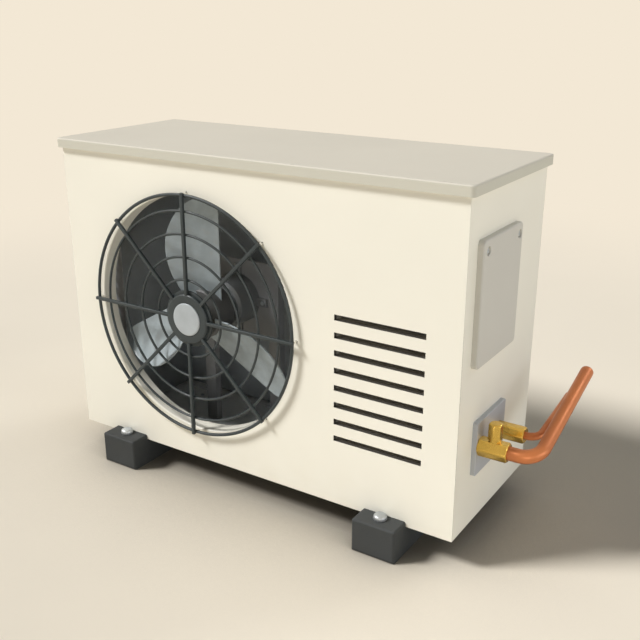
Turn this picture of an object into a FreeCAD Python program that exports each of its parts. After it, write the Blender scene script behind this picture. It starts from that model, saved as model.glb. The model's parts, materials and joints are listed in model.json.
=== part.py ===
import FreeCAD, Part
import Sketcher
import math
import os

# Outdoor unit of a split air conditioner. Lengths in mm, +Z up, front towards -Y.
# The origin lies on the floor, in the middle of the four floor anchors.

os.makedirs("parts", exist_ok=True)
doc = FreeCAD.newDocument("OutdoorUnit")

SIZES = {
    # casing
    "body_width": 800,
    "body_depth": 302,
    "body_bottom": 50,
    "body_height": 547,
    "sheet_thick": 1.5,
    "fold_width": 16,
    "seat_gap": 0.3,
    "hole_play": 0.15,
    "cover_height": 17,
    "cover_overhang": 8,
    "cover_corner": 7,
    "cover_edge": 3,
    "cover_play": 0.5,
    "pan_wall": 20,
    "pan_rib": 4,
    "rib_pitch": 190,
    "rib_width": 50,
    "drain_radius": 9,
    "drain_length": 8,
    # feet
    "foot_inset": 120,
    "foot_width": 79,
    "foot_land": 25,
    "foot_rise": 9,
    "foot_edge": 4,
    "anchor_margin": 14,
    "anchor_radius": 5.2,
    "insert_wall": 2.8,
    "bolt_radius": 6,
    "bolt_socket": 18,
    "bolt_head": 11.5,
    "bolt_dome": 9,
    "bolt_length": 12,
    "pan_screw_reach": 60,
    "side_screw_inset": 31,
    # small screws
    "screw_radius": 2,
    "screw_head": 4.2,
    "screw_top": 2.4,
    "screw_length": 9,
    "screw_gap": 0.8,
    # fan opening and guard
    "fan_side": 290,
    "fan_level": 325,
    "tip_clearance": 8.5,
    "opening_lip": 2.2,
    "collar_depth": 28,
    "guard_wire": 4.5,
    "guard_standoff": 9,
    "ring_first": 70,
    "ring_pitch": 40,
    "ring_margin": 4,
    "spoke_width": 6,
    "spoke_front": 16,
    "spoke_margin": 8.5,
    "leg_radius": 2.5,
    "leg_margin": 6,
    "hub_disc": 45,
    "hub_disc_thick": 6,
    "hub_cap": 29.5,
    "hub_cap_thick": 2,
    # fan
    "fan_hub_radius": 45,
    "fan_hub_depth": 19,
    "fan_hub_length": 41,
    "fan_wall": 3,
    "fan_boss": 14,
    "blade_thick": 3.3,
    "blade_back": 9,
    "blade_straight": 36,
    "blade_straight_depth": 29,
    "blade_belly": 54,
    "blade_belly_radius": 125,
    "blade_root_reach": 27,
    "blade_root_radius": 40,
    "blade_tip_reach": 28,
    "blade_tip_radius": 192,
    "blade_proud": 10,
    "blade_proud_radius": 100,
    "blade_sweep": 17.5,
    "blade_camber": 5,
    "blade_tip_round": 13,
    "blade_seat": 0.1,
    "shaft_radius": 6,
    "shaft_play": 0.05,
    "nut_radius": 10,
    "nut_height": 7,
    # motor
    "motor_depth": 70,
    "motor_boss": 20,
    "motor_nose": 6,
    "motor_radius": 46,
    "motor_length": 70,
    "motor_bevel": 5,
    "lug_reach": 58,
    "lug_width": 16,
    "lug_thick": 4,
    "rail_side": 78,
    "rail_width": 24,
    "rail_depth": 15,
    "bracket_height": 150,
    "bracket_thick": 2,
    # outlet slots
    "slot_space": 78,
    "slot_margin": 58.5,
    "slot_height": 10,
    "slot_pitch": 30,
    "slot_count": 8,
    "slot_first": 171,
    "slot_depth": 20,
    "slot_wall": 1.2,
    "baffle_margin": 12,
    # left intake slots
    "intake_length": 84,
    "intake_height": 9,
    "intake_pitch": 26,
    "intake_count": 18,
    "intake_split": 24,
    "intake_first": 110,
    # rear
    "rear_panel_lap": 17,
    "rear_fold": 28,
    "wire_thick": 2.4,
    "wire_pitch": 29,
    "bar_pitch": 120,
    "tab_width": 16,
    "tab_inset": 6,
    # coil
    "coil_thick": 38,
    "coil_space": 6.5,
    "coil_short_leg": 215,
    "coil_corner": 40,
    "coil_top_space": 7,
    "coil_end_gap": 3,
    "bend_radius": 20,
    "bend_tube": 4.75,
    "bend_pitch": 90,
    "partition_space": 30,
    "baffle_gap": 0.5,
    "partition_flange": 36,
    # compressor side
    "compressor_back": 24,
    "compressor_radius": 62,
    "compressor_height": 251,
    "compressor_dome": 22,
    "compressor_foot": 82,
    "foot_plate": 3,
    "grommet_radius": 14,
    "grommet_height": 24.5,
    "stud_radius": 4,
    "accumulator_space": 27,
    "accumulator_front": 80,
    "accumulator_radius": 28,
    "accumulator_bottom": 110,
    "accumulator_height": 160,
    "strap_width": 12,
    "strap_level": 112,
    "large_tube": 8,
    "small_tube": 4.75,
    "tube_bend": 18,
    "discharge_level": 470,
    "suction_level": 300,
    "liquid_bend": 12,
    "drier_radius": 12,
    "drier_length": 60,
    "elbow_drop": 12.8,
    "elbow_tube": 5.6,
    "elbow_bend": 10.4,
    "terminal_width": 40,
    "terminal_height": 50,
    "terminal_depth": 14.4,
    "terminal_edge": 5,
    # controls
    "control_depth": 98,
    "control_front": 112,
    "control_back": 14,
    "control_bottom": 350,
    "control_height": 250,
    "board_thick": 2,
    "board_margin": 20,
    "board_height": 100,
    "can_radius": 20,
    "can_height": 70,
    "can_offset": 45,
    "can_margin": 34,
    "tag_height": 10,
    "tag_width": 6,
    "block_depth": 16,
    "block_margin": 30,
    "block_height": 34,
    "block_drop": 60,
    "cell_depth": 8,
    "cell_width": 9,
    "cell_wall": 4,
    "cell_count": 5,
    # service cover and valves
    "service_thick": 10,
    "service_front": 118,
    "service_back": 33,
    "service_bottom": 330,
    "service_height": 198,
    "service_corner": 8,
    "service_wall": 2,
    "service_edge": 1.8,
    "service_depth": 7,
    "service_screw_front": 100,
    "service_screw_back": 21.6,
    "service_screw_level": 510,
    "plate_thick": 8,
    "plate_front": 94,
    "plate_back": 20,
    "plate_bottom": 141,
    "plate_height": 92,
    "valve_level": 190.5,
    "gas_front": 80,
    "liquid_front": 9.5,
    "gas_size": 16.4,
    "liquid_size": 14.2,
    "valve_length": 33,
    "flare_length": 15,
    "neck_radius": 9.5,
    "neck_bore": 6,
    "neck_length": 18,
    "lock_nut": 14,
    "tower_radius": 8,
    "tower_rise": 0.8,
    "stem_offset": 24,
    "stem_radius": 4,
    "stem_depth": 9,
    "stem_length": 41,
    "cap_radius": 11.5,
    "cap_height": 28,
    "cap_bore": 6,
    # line stubs
    "gas_pipe_radius": 11.1,
    "gas_pipe_run": 60,
    "gas_pipe_length": 239,
    "gas_pipe_bend": 30,
    "gas_rise": 16.5,
    "gas_end": 6,
    "liquid_pipe_radius": 6.35,
    "liquid_pipe_run": 36,
    "liquid_pipe_length": 150,
    "liquid_pipe_bend": 19,
    "liquid_rise": 7.7,
    "liquid_end": 3.5,
}


# values that carry their sheet expression with them


class Size:
    def __init__(self, value, text):
        self.value = value
        self.text = text

    def mixed(self, sign, other, value):
        return Size(value, "(%s %s %s)" % (self.text, sign, other.text))

    def __add__(self, other):
        other = as_size(other)
        return self.mixed("+", other, self.value + other.value)

    def __sub__(self, other):
        other = as_size(other)
        return self.mixed("-", other, self.value - other.value)

    def __mul__(self, other):
        other = as_size(other)
        return self.mixed("*", other, self.value * other.value)

    def __truediv__(self, other):
        other = as_size(other)
        return self.mixed("/", other, self.value / other.value)

    def __radd__(self, other):
        return as_size(other) + self

    def __rsub__(self, other):
        return as_size(other) - self

    def __rmul__(self, other):
        return as_size(other) * self

    def __neg__(self):
        return as_size(0) - self


def as_size(amount):
    if isinstance(amount, Size):
        return amount
    return Size(float(amount), "(%r)" % float(amount))


class Named:
    pass


def fill_sheet():
    sheet = doc.addObject("Spreadsheet::Sheet", "Sizes")
    sizes = Named()
    for row, name in enumerate(SIZES, start=1):
        sheet.set("A%d" % row, name)
        sheet.set("B%d" % row, str(SIZES[name]))
        sheet.setAlias("B%d" % row, name)
        setattr(sizes, name, Size(float(SIZES[name]), "Sizes." + name))
    doc.recompute()
    return sizes


s = fill_sheet()

# levels and faces that many sub-parts share
half_width = s.body_width / 2
front = -s.body_depth / 2
back = s.body_depth / 2
skirt_level = s.body_bottom + s.body_height
cover_top = skirt_level + s.cover_height
roof = cover_top - s.sheet_thick
pan_top = s.body_bottom + s.sheet_thick
fold_bottom = s.body_bottom + s.pan_wall + s.seat_gap
inner_side = half_width - s.sheet_thick
inner_front = front + s.sheet_thick
inner_back = back - s.sheet_thick
fan_x = s.fan_side - half_width
screw_hole = s.screw_radius + s.hole_play
anchor_reach = back + s.anchor_margin
foot_end = anchor_reach + s.foot_land
foot_centre = half_width - s.foot_inset
blade_end = s.blade_tip_radius + s.blade_tip_round
opening_radius = blade_end + s.tip_clearance
leg_circle = opening_radius + s.leg_margin
low_screws = s.body_bottom + s.foot_rise + s.screw_head + s.screw_gap
high_screws = skirt_level + s.cover_height / 2
fold_screw = s.tab_inset + s.tab_width / 2 - half_width
side_screws = (back - s.side_screw_inset, front + s.side_screw_inset)
partition_left = fan_x + opening_radius + s.sheet_thick + s.partition_space
coil_right = partition_left - s.coil_end_gap
rear_panel_left = partition_left + s.rear_panel_lap
rear_screw_left = rear_panel_left + s.tab_inset + s.tab_width / 2
slot_left = fan_x + opening_radius + s.slot_space
slot_right = half_width - s.slot_margin
slot_length = slot_right - slot_left
baffle_front = front + s.slot_depth + s.baffle_gap + s.sheet_thick
coil_back = inner_back - s.coil_space
coil_front = coil_back - s.coil_thick
compressor_x = (partition_left + inner_side) / 2
compressor_floor = pan_top + s.grommet_height
compressor_bottom = compressor_floor + s.foot_plate
accumulator_x = partition_left + s.accumulator_space + s.accumulator_radius
valve_start = half_width + s.plate_thick
valve_end = valve_start + s.valve_length
neck_end = valve_start - s.neck_length
stem_x = valve_start + s.stem_offset
tower_height = s.gas_size + s.tower_rise
tower_top = s.valve_level + tower_height
blade_depth = s.blade_back - s.blade_proud
plate_depth = s.motor_depth + s.motor_nose + s.motor_length * 0.8

UPWARD = FreeCAD.Rotation()
TO_RIGHT = FreeCAD.Rotation(FreeCAD.Vector(0, 1, 0), 90)
TO_BACK = FreeCAD.Rotation(FreeCAD.Vector(1, 0, 0), -90)
TURNS = {"x": TO_RIGHT, "y": TO_BACK, "z": UPWARD}
made = []


def bind(item, field, amount):
    item.setExpression(field, as_size(amount).text)


def place(item, point, turn=UPWARD):
    item.Placement = FreeCAD.Placement(FreeCAD.Vector(), turn)
    for axis, amount in zip("xyz", point):
        bind(item, "Placement.Base." + axis, amount)
    return item


def finish(item, label):
    item.Label = label
    made.append(item)
    return item


# plain solids with every length bound to the sheet


def block(x0, x1, y0, y1, z0, z1):
    item = doc.addObject("Part::Box", "Block")
    for field, low, high in (("Length", x0, x1), ("Width", y0, y1), ("Height", z0, z1)):
        bind(item, field, as_size(high) - low)
    return place(item, (x0, y0, z0))


def rod(radius, length, point, axis="z"):
    item = doc.addObject("Part::Cylinder", "Rod")
    bind(item, "Radius", radius)
    bind(item, "Height", length)
    return place(item, point, TURNS[axis])


def prism(sides, radius, length, point, axis="z"):
    item = doc.addObject("Part::Prism", "Prism")
    item.Polygon = sides
    bind(item, "Circumradius", radius)
    bind(item, "Height", length)
    return place(item, point, TURNS[axis])


def union(*items):
    item = doc.addObject("Part::MultiFuse", "Union")
    item.Shapes = list(items)
    return item


def overlap(*items):
    item = doc.addObject("Part::MultiCommon", "Overlap")
    item.Shapes = list(items)
    return item


def without(base, *tools):
    item = doc.addObject("Part::Cut", "Remainder")
    item.Base = base
    item.Tool = tools[0] if len(tools) == 1 else union(*tools)
    return item


def rounded(base, radius, test):
    doc.recompute()
    item = doc.addObject("Part::Fillet", "Rounded")
    item.Base = base
    amount = as_size(radius).value
    chosen = [i for i, edge in enumerate(base.Shape.Edges, start=1) if test(edge)]
    item.Edges = [(i, amount, amount) for i in chosen]
    return item


def moved(point, axis, amount):
    spot = list(point)
    spot["xyz".index(axis)] = as_size(spot["xyz".index(axis)]) + amount
    return tuple(spot)


def screw(point, axis, outward, radius, length, head, top):
    # hexagonal head lying on the point, shank running the other way
    if outward > 0:
        return union(prism(6, head, top, point, axis),
                     rod(radius, length, moved(point, axis, -length), axis))
    return union(prism(6, head, top, moved(point, axis, -top), axis),
                 rod(radius, length, point, axis))


def small_screw(point, axis, outward):
    return screw(point, axis, outward, s.screw_radius, s.screw_length, s.screw_head, s.screw_top)


def barrel(radius, length, cut, point, axis="z"):
    # round bar with a bevel at both ends
    item = rod(radius, length, point, axis)
    doc.recompute()
    bevel = doc.addObject("Part::Chamfer", "Bevel")
    bevel.Base = item
    amount = as_size(cut).value
    bevel.Edges = [(1, amount, amount), (3, amount, amount)]
    return bevel


def bevelled_nut(sides, radius, length, point, axis="z"):
    # flats of a prism cut back at both ends by a barrel
    return overlap(prism(sides, radius, length, point, axis),
                   barrel(radius * 0.985, length, radius * 0.13, point, axis))


# bodies built from sketches


def new_body(label, point=(0, 0, 0), turn=UPWARD):
    body = doc.addObject("PartDesign::Body", label)
    place(body, point, turn)
    return finish(body, label)


def base_plane(body, role):
    for item in body.Origin.OriginFeatures:
        if item.Role == role:
            return item
    raise ValueError(role)


def new_drawing(body, role, x=0, y=0, lift=0):
    drawing = body.newObject("Sketcher::SketchObject", "Drawing")
    drawing.AttachmentSupport = [(base_plane(body, role), "")]
    drawing.MapMode = "FlatFace"
    for axis, amount in zip("xyz", (x, y, lift)):
        bind(drawing, "AttachmentOffset.Base." + axis, amount)
    return drawing


def rule(drawing, kind, *rest):
    amount = as_size(rest[-1])
    index = drawing.addConstraint(Sketcher.Constraint(kind, *rest[:-1], amount.value))
    name = "size_%d" % index
    drawing.renameConstraint(index, name)
    bind(drawing, "Constraints." + name, amount)


def fix_point(drawing, shape, spot, point):
    rule(drawing, "DistanceX", -1, 1, shape, spot, point[0])
    rule(drawing, "DistanceY", -1, 1, shape, spot, point[1])


def flat(point):
    return FreeCAD.Vector(as_size(point[0]).value, as_size(point[1]).value, 0)


def line(drawing, start, end):
    shape = drawing.addGeometry(Part.LineSegment(flat(start), flat(end)))
    fix_point(drawing, shape, 1, start)
    fix_point(drawing, shape, 2, end)
    return shape


def circle(drawing, x, y, radius):
    ring = Part.Circle(flat((x, y)), FreeCAD.Vector(0, 0, 1), as_size(radius).value)
    shape = drawing.addGeometry(ring)
    fix_point(drawing, shape, 3, (x, y))
    rule(drawing, "Radius", shape, radius)
    return shape


def polygon(drawing, points):
    shapes = []
    for start, end in zip(points, points[1:] + points[:1]):
        shapes.append(drawing.addGeometry(Part.LineSegment(flat(start), flat(end))))
    for shape, following, point in zip(shapes, shapes[1:] + shapes[:1], points):
        drawing.addConstraint(Sketcher.Constraint("Coincident", shape, 2, following, 1))
        fix_point(drawing, shape, 1, point)


def rectangle(drawing, x0, x1, y0, y1):
    polygon(drawing, [(x0, y0), (x1, y0), (x1, y1), (x0, y1)])


def few_sided(drawing, x, y, radius):
    # eight-sided section of the tubes inside the casing
    angles = [math.radians(22.5 + 45 * i) for i in range(8)]
    polygon(drawing, [(x + radius * math.cos(angle), y + radius * math.sin(angle))
                      for angle in angles])


def corner_arc(drawing, first, second, start, end, centre, radius):
    # counter-clockwise arc from the end of the first line to the start of the second
    middle = flat(centre)
    low = flat(start) - middle
    high = flat(end) - middle
    round_line = Part.Circle(middle, FreeCAD.Vector(0, 0, 1), as_size(radius).value)
    angles = math.atan2(low.y, low.x), math.atan2(high.y, high.x)
    arc = drawing.addGeometry(Part.ArcOfCircle(round_line, *angles))
    drawing.addConstraint(Sketcher.Constraint("Coincident", arc, 1, *first))
    drawing.addConstraint(Sketcher.Constraint("Coincident", arc, 2, *second))
    rule(drawing, "Radius", arc, radius)
    return arc


def rounded_rectangle(drawing, x0, x1, y0, y1, radius):
    x0, x1, y0, y1 = (as_size(amount) for amount in (x0, x1, y0, y1))
    sides = [((x0 + radius, y0), (x1 - radius, y0)), ((x1, y0 + radius), (x1, y1 - radius)),
             ((x1 - radius, y1), (x0 + radius, y1)), ((x0, y1 - radius), (x0, y0 + radius))]
    centres = [(x1 - radius, y0 + radius), (x1 - radius, y1 - radius),
               (x0 + radius, y1 - radius), (x0 + radius, y0 + radius)]
    shapes = [line(drawing, start, end) for start, end in sides]
    for i in range(4):
        following = (i + 1) % 4
        corner_arc(drawing, (shapes[i], 2), (shapes[following], 1),
                   sides[i][1], sides[following][0], centres[i], radius)


def bent_path(drawing, points, radius):
    # straight runs joined by arcs, each run along one sketch axis
    runs = []
    for start, end in zip(points, points[1:]):
        step = flat(end) - flat(start)
        step.normalize()
        runs.append([start, end, round(step.x), round(step.y)])
    for before, after in zip(runs, runs[1:]):
        corner = before[1]
        before[1] = (corner[0] - radius * before[2], corner[1] - radius * before[3])
        after[0] = (corner[0] + radius * after[2], corner[1] + radius * after[3])
    shapes = [line(drawing, run[0], run[1]) for run in runs]
    for i in range(len(runs) - 1):
        before, after = runs[i], runs[i + 1]
        centre = (before[1][0] + radius * after[2], before[1][1] + radius * after[3])
        if before[2] * after[3] - before[3] * after[2] > 0:
            corner_arc(drawing, (shapes[i], 2), (shapes[i + 1], 1), before[1], after[0],
                       centre, radius)
        else:
            corner_arc(drawing, (shapes[i + 1], 1), (shapes[i], 2), after[0], before[1],
                       centre, radius)
    return 2 * len(runs) - 1


def pad(body, drawing, length, reverse=False, both=False):
    item = body.newObject("PartDesign::Pad", "Pad")
    item.Profile = drawing
    item.Reversed = reverse
    if both:
        item.SideType = "Symmetric"
    bind(item, "Length", length)
    return item


def pocket(body, drawing, length, reverse=False):
    item = body.newObject("PartDesign::Pocket", "Pocket")
    item.Profile = drawing
    item.Reversed = reverse
    bind(item, "Length", length)
    return item


def in_row(body, feature, drawing, direction, count, pitch):
    item = body.newObject("PartDesign::LinearPattern", "Row")
    item.Originals = [feature]
    item.Direction = (drawing, [direction])
    bind(item, "Occurrences", count)
    bind(item, "Length", pitch * (as_size(count) - 1))
    body.Tip = item
    return item


def around(body, feature, drawing, count):
    item = body.newObject("PartDesign::PolarPattern", "Around")
    item.Originals = [feature]
    item.Axis = (drawing, ["N_Axis"])
    item.Angle = 360
    item.Occurrences = count
    body.Tip = item
    return item


def spun(body, drawing, axis):
    item = body.newObject("PartDesign::Revolution", "Turned")
    item.Profile = drawing
    item.ReferenceAxis = (drawing, [axis])
    item.Angle = 360
    return item


def chosen_edges(body, test):
    doc.recompute()
    edges = enumerate(body.Tip.Shape.Edges, start=1)
    return (body.Tip, ["Edge%d" % i for i, edge in edges if test(edge)])


def soften(body, radius, test):
    base = chosen_edges(body, test)
    item = body.newObject("PartDesign::Fillet", "Soft")
    item.Base = base
    bind(item, "Radius", radius)
    return item


def bevelled(body, cut, test):
    base = chosen_edges(body, test)
    item = body.newObject("PartDesign::Chamfer", "Bevel")
    item.Base = base
    bind(item, "Size", cut)
    return item


def swept(body, profile, path, pieces):
    item = body.newObject("PartDesign::AdditivePipe", "Swept")
    item.Profile = profile
    item.Spine = (path, ["Edge%d" % i for i in range(1, pieces + 1)])
    return item


def close_to(first, second, reach=0.01):
    return abs(first - as_size(second).value) < reach


def is_round(edge, radius):
    return isinstance(edge.Curve, Part.Circle) and close_to(edge.Curve.Radius, radius)


# feet


def foot_bar(label, x):
    body = new_body(label, (x, 0, 0))
    side = new_drawing(body, "YZ_Plane")
    end = foot_end
    step = back + s.seat_gap
    low = s.body_bottom
    high = s.body_bottom + s.foot_rise
    polygon(side, [(-end, 0), (end, 0), (end, high), (step, high), (step, low),
                   (-step, low), (-step, high), (-end, high)])
    pad(body, side, s.foot_width, both=True)
    soften(body, s.foot_edge, lambda edge: close_to(abs(edge.CenterOfMass.y), end)
           or (close_to(edge.CenterOfMass.z, high) and edge.CenterOfMass.x != 0
               and close_to(abs(edge.CenterOfMass.x), s.foot_width / 2)))
    anchors = new_drawing(body, "XY_Plane")
    for y in (anchor_reach, -anchor_reach):
        circle(anchors, 0, y, s.anchor_radius + s.insert_wall)
    pocket(body, anchors, high, reverse=True)
    seats = new_drawing(body, "XY_Plane", lift=low)
    for y in (s.pan_screw_reach, -s.pan_screw_reach):
        circle(seats, 0, y, screw_hole)
    pocket(body, seats, s.screw_length)


def foot_ends():
    return [(x, y) for x in (-foot_centre, foot_centre)
            for y in (-anchor_reach, anchor_reach)]


def foot_inserts():
    height = s.body_bottom + s.foot_rise
    sleeves = []
    for x, y in foot_ends():
        outer = rod(s.anchor_radius + s.insert_wall, height, (x, y, 0))
        socket = rod(s.bolt_radius + s.seat_gap, s.bolt_socket, (x, y, height - s.bolt_socket))
        sleeves.append(without(outer, rod(s.anchor_radius, height, (x, y, 0)), socket))
    finish(union(*sleeves), "foot_inserts")


def foot_bolts():
    seat = s.body_bottom + s.foot_rise
    bolts = []
    for x, y in foot_ends():
        foot = doc.addObject("Part::Cone", "Dome")
        crown = doc.addObject("Part::Cone", "Dome")
        waist = s.bolt_head * 0.86
        for item, wide, narrow, low, high in ((foot, s.bolt_head, waist, 0, 0.55),
                                              (crown, waist, waist * 0.5, 0.55, 1)):
            bind(item, "Radius1", wide)
            bind(item, "Radius2", narrow)
            bind(item, "Height", s.bolt_dome * (high - low))
            place(item, (x, y, seat + s.bolt_dome * low))
        shank = rod(s.bolt_radius, s.bolt_length, (x, y, seat - s.bolt_length))
        bolts.append(union(foot, crown, shank))
    finish(union(*bolts), "foot_bolts")


# casing


def base_pan():
    body = new_body("base_pan")
    floor = new_drawing(body, "XY_Plane", lift=s.body_bottom)
    rectangle(floor, -inner_side, inner_side, inner_front, inner_back)
    pad(body, floor, s.sheet_thick)
    wall = new_drawing(body, "XY_Plane", lift=s.body_bottom)
    rectangle(wall, -inner_side, inner_side, inner_front, inner_back)
    rectangle(wall, s.sheet_thick - inner_side, inner_side - s.sheet_thick,
              inner_front + s.sheet_thick, inner_back - s.sheet_thick)
    pad(body, wall, s.pan_wall)
    ribs = new_drawing(body, "XY_Plane", lift=pan_top)
    for x in (fan_x - s.rib_pitch, fan_x, fan_x + s.rib_pitch):
        rectangle(ribs, x - s.rib_width / 2, x + s.rib_width / 2, coil_front - s.pan_wall,
                  coil_back)
    rectangle(ribs, s.seat_gap - inner_side + s.coil_space, s.coil_thick - inner_side,
              -s.coil_thick, s.coil_thick)
    pad(body, ribs, s.pan_rib)
    spout = new_drawing(body, "XY_Plane", fan_x, 0, s.body_bottom)
    circle(spout, 0, 0, s.drain_radius + s.sheet_thick)
    pad(body, spout, s.drain_length, reverse=True)
    studs = new_drawing(body, "XY_Plane", compressor_x, s.compressor_back, pan_top)
    circle(studs, 0, s.compressor_foot, s.stud_radius)
    stud = pad(body, studs, s.grommet_height + s.foot_plate + s.stud_radius * 2)
    around(body, stud, studs, 3)
    drain = new_drawing(body, "XY_Plane", fan_x, 0, pan_top)
    circle(drain, 0, 0, s.drain_radius)
    pocket(body, drain, s.sheet_thick + s.drain_length)
    holes = new_drawing(body, "XY_Plane", lift=pan_top)
    for x in (-foot_centre, foot_centre):
        for y in (-s.pan_screw_reach, s.pan_screw_reach):
            circle(holes, x, y, screw_hole)
    pocket(body, holes, s.sheet_thick)
    rear = new_drawing(body, "XZ_Plane", lift=-inner_back)
    for x in (fold_screw, rear_screw_left, -fold_screw):
        circle(rear, x, low_screws, screw_hole)
    pocket(body, rear, s.sheet_thick, reverse=True)
    left = new_drawing(body, "YZ_Plane", lift=-inner_side)
    for y in side_screws:
        circle(left, y, low_screws, screw_hole)
    pocket(body, left, s.sheet_thick, reverse=True)


def pan_screws():
    screws = []
    for x in (-foot_centre, foot_centre):
        for y in (-s.pan_screw_reach, s.pan_screw_reach):
            screws.append(small_screw((x, y, pan_top), "z", 1))
    finish(union(*screws), "pan_screws")


def front_panel():
    body = new_body("front_panel")
    plate = new_drawing(body, "XZ_Plane", lift=-inner_front)
    rectangle(plate, -half_width, half_width, s.body_bottom, roof)
    circle(plate, fan_x, s.fan_level, opening_radius)
    pad(body, plate, s.sheet_thick)
    folds = new_drawing(body, "XZ_Plane", lift=-inner_front)
    rectangle(folds, -inner_side, s.sheet_thick - inner_side, fold_bottom, roof)
    rectangle(folds, inner_side - s.sheet_thick, inner_side, fold_bottom, roof)
    pad(body, folds, s.fold_width, reverse=True)
    collar = new_drawing(body, "XZ_Plane", fan_x, s.fan_level, -inner_front)
    circle(collar, 0, 0, opening_radius)
    circle(collar, 0, 0, opening_radius + s.sheet_thick)
    pad(body, collar, s.collar_depth - s.sheet_thick, reverse=True)
    soften(body, s.opening_lip, lambda edge: is_round(edge, opening_radius)
           and close_to(edge.CenterOfMass.y, front))
    slot_x = (slot_left + slot_right) / 2
    box = new_drawing(body, "XZ_Plane", slot_x, s.slot_first, -inner_front)
    reach = slot_length / 2 + s.slot_wall
    rise = s.slot_height / 2 + s.slot_wall
    rectangle(box, -reach, reach, -rise, rise)
    tunnel = pad(body, box, s.slot_depth - s.sheet_thick, reverse=True)
    in_row(body, tunnel, box, "V_Axis", s.slot_count, s.slot_pitch)
    gap = new_drawing(body, "XZ_Plane", slot_x, s.slot_first, -front)
    reach = slot_length / 2
    rise = s.slot_height / 2
    rectangle(gap, -reach, reach, -rise, rise)
    slot = pocket(body, gap, s.slot_depth)
    in_row(body, slot, gap, "V_Axis", s.slot_count, s.slot_pitch)
    legs = new_drawing(body, "XZ_Plane", fan_x, s.fan_level, -front)
    circle(legs, 0, leg_circle, s.leg_radius + s.hole_play)
    hole = pocket(body, legs, s.sheet_thick)
    around(body, hole, legs, 8)


def side_panel_left():
    body = new_body("side_panel_left")
    plate = new_drawing(body, "YZ_Plane", lift=-inner_side)
    rectangle(plate, inner_front, back, s.body_bottom, roof)
    pad(body, plate, s.sheet_thick, reverse=True)
    fold = new_drawing(body, "XZ_Plane", lift=-back)
    rectangle(fold, -half_width, s.rear_fold - half_width, s.body_bottom, roof)
    pad(body, fold, s.sheet_thick)
    gaps = new_drawing(body, "YZ_Plane", 0, s.intake_first, -inner_side)
    for y in (-s.intake_length - s.intake_split / 2, s.intake_split / 2):
        rectangle(gaps, y, y + s.intake_length, 0, s.intake_height)
    gap = pocket(body, gaps, s.sheet_thick)
    in_row(body, gap, gaps, "V_Axis", s.intake_count, s.intake_pitch)
    holes = new_drawing(body, "YZ_Plane", lift=-inner_side)
    for y in side_screws:
        circle(holes, y, low_screws, screw_hole)
        circle(holes, y, high_screws, screw_hole)
    pocket(body, holes, s.sheet_thick)
    rear = new_drawing(body, "XZ_Plane", lift=-inner_back)
    for z in tab_levels() + [low_screws, high_screws]:
        circle(rear, fold_screw, z, screw_hole)
    pocket(body, rear, s.sheet_thick)


def side_panel_right():
    body = new_body("side_panel_right")
    plate = new_drawing(body, "YZ_Plane", lift=inner_side)
    rectangle(plate, inner_front, inner_back, s.body_bottom, roof)
    pad(body, plate, s.sheet_thick)
    holes = new_drawing(body, "YZ_Plane", lift=half_width)
    for y in (-s.gas_front, -s.liquid_front):
        circle(holes, y, s.valve_level, s.neck_radius + s.hole_play)
    for y in (-s.service_screw_front, s.service_screw_back):
        circle(holes, y, s.service_screw_level, screw_hole)
    rim = s.service_corner * 2 + s.service_wall
    rectangle(holes, rim - s.service_front, s.service_back - rim,
              s.service_bottom + rim * 2, s.service_screw_level - rim)
    pocket(body, holes, s.sheet_thick)


def rear_panel():
    body = new_body("rear_panel")
    plate = new_drawing(body, "XZ_Plane", lift=-inner_back)
    rectangle(plate, rear_panel_left, half_width, s.body_bottom, roof)
    pad(body, plate, s.sheet_thick, reverse=True)
    fold = new_drawing(body, "XZ_Plane", lift=-inner_back)
    rectangle(fold, rear_panel_left, rear_panel_left + s.sheet_thick, fold_bottom, roof)
    pad(body, fold, s.sheet_thick * 4)
    holes = new_drawing(body, "XZ_Plane", lift=-inner_back)
    for z in tab_levels() + [low_screws]:
        circle(holes, rear_screw_left, z, screw_hole)
    for z in (low_screws, high_screws):
        circle(holes, -fold_screw, z, screw_hole)
    pocket(body, holes, s.sheet_thick)


def tab_levels():
    # heights of the two pairs of ears that hold the wire guard of the coil
    return [s.body_bottom + s.pan_wall * 2, roof - s.pan_wall * 2]


def coil_guard():
    body = new_body("coil_guard")
    left = s.tab_inset - half_width
    right = rear_panel_left + s.tab_inset + s.tab_width
    low, high = tab_levels()
    wire = s.wire_thick
    tabs = new_drawing(body, "XZ_Plane", lift=-back)
    for x in (left, right - s.tab_width):
        for z in (low, high):
            rectangle(tabs, x, x + s.tab_width, z - s.tab_width / 2, z + s.tab_width / 2)
    pad(body, tabs, wire, reverse=True)
    bar = new_drawing(body, "XZ_Plane", lift=-back)
    start = s.tab_inset + s.tab_width - half_width
    rectangle(bar, start, right - s.tab_width, low - wire / 2, low + wire / 2)
    span = high - low
    row = pad(body, bar, wire, reverse=True)
    gaps = int((span / s.bar_pitch).value)
    in_row(body, row, bar, "V_Axis", gaps + 1, span / gaps)
    upright = new_drawing(body, "XZ_Plane", lift=-(back + wire * 0.8))
    first = start + s.wire_pitch / 2
    rectangle(upright, first - wire / 2, first + wire / 2, low - s.wire_pitch / 2,
              high + s.wire_pitch / 2)
    rods = pad(body, upright, wire, reverse=True)
    count = int(((right - s.tab_width - first) / s.wire_pitch).value) + 1
    in_row(body, rods, upright, "H_Axis", count, s.wire_pitch)
    holes = new_drawing(body, "XZ_Plane", lift=-back)
    for x in (left + s.tab_width / 2, right - s.tab_width / 2):
        for z in (low, high):
            circle(holes, x, z, screw_hole)
    pocket(body, holes, wire)


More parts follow.
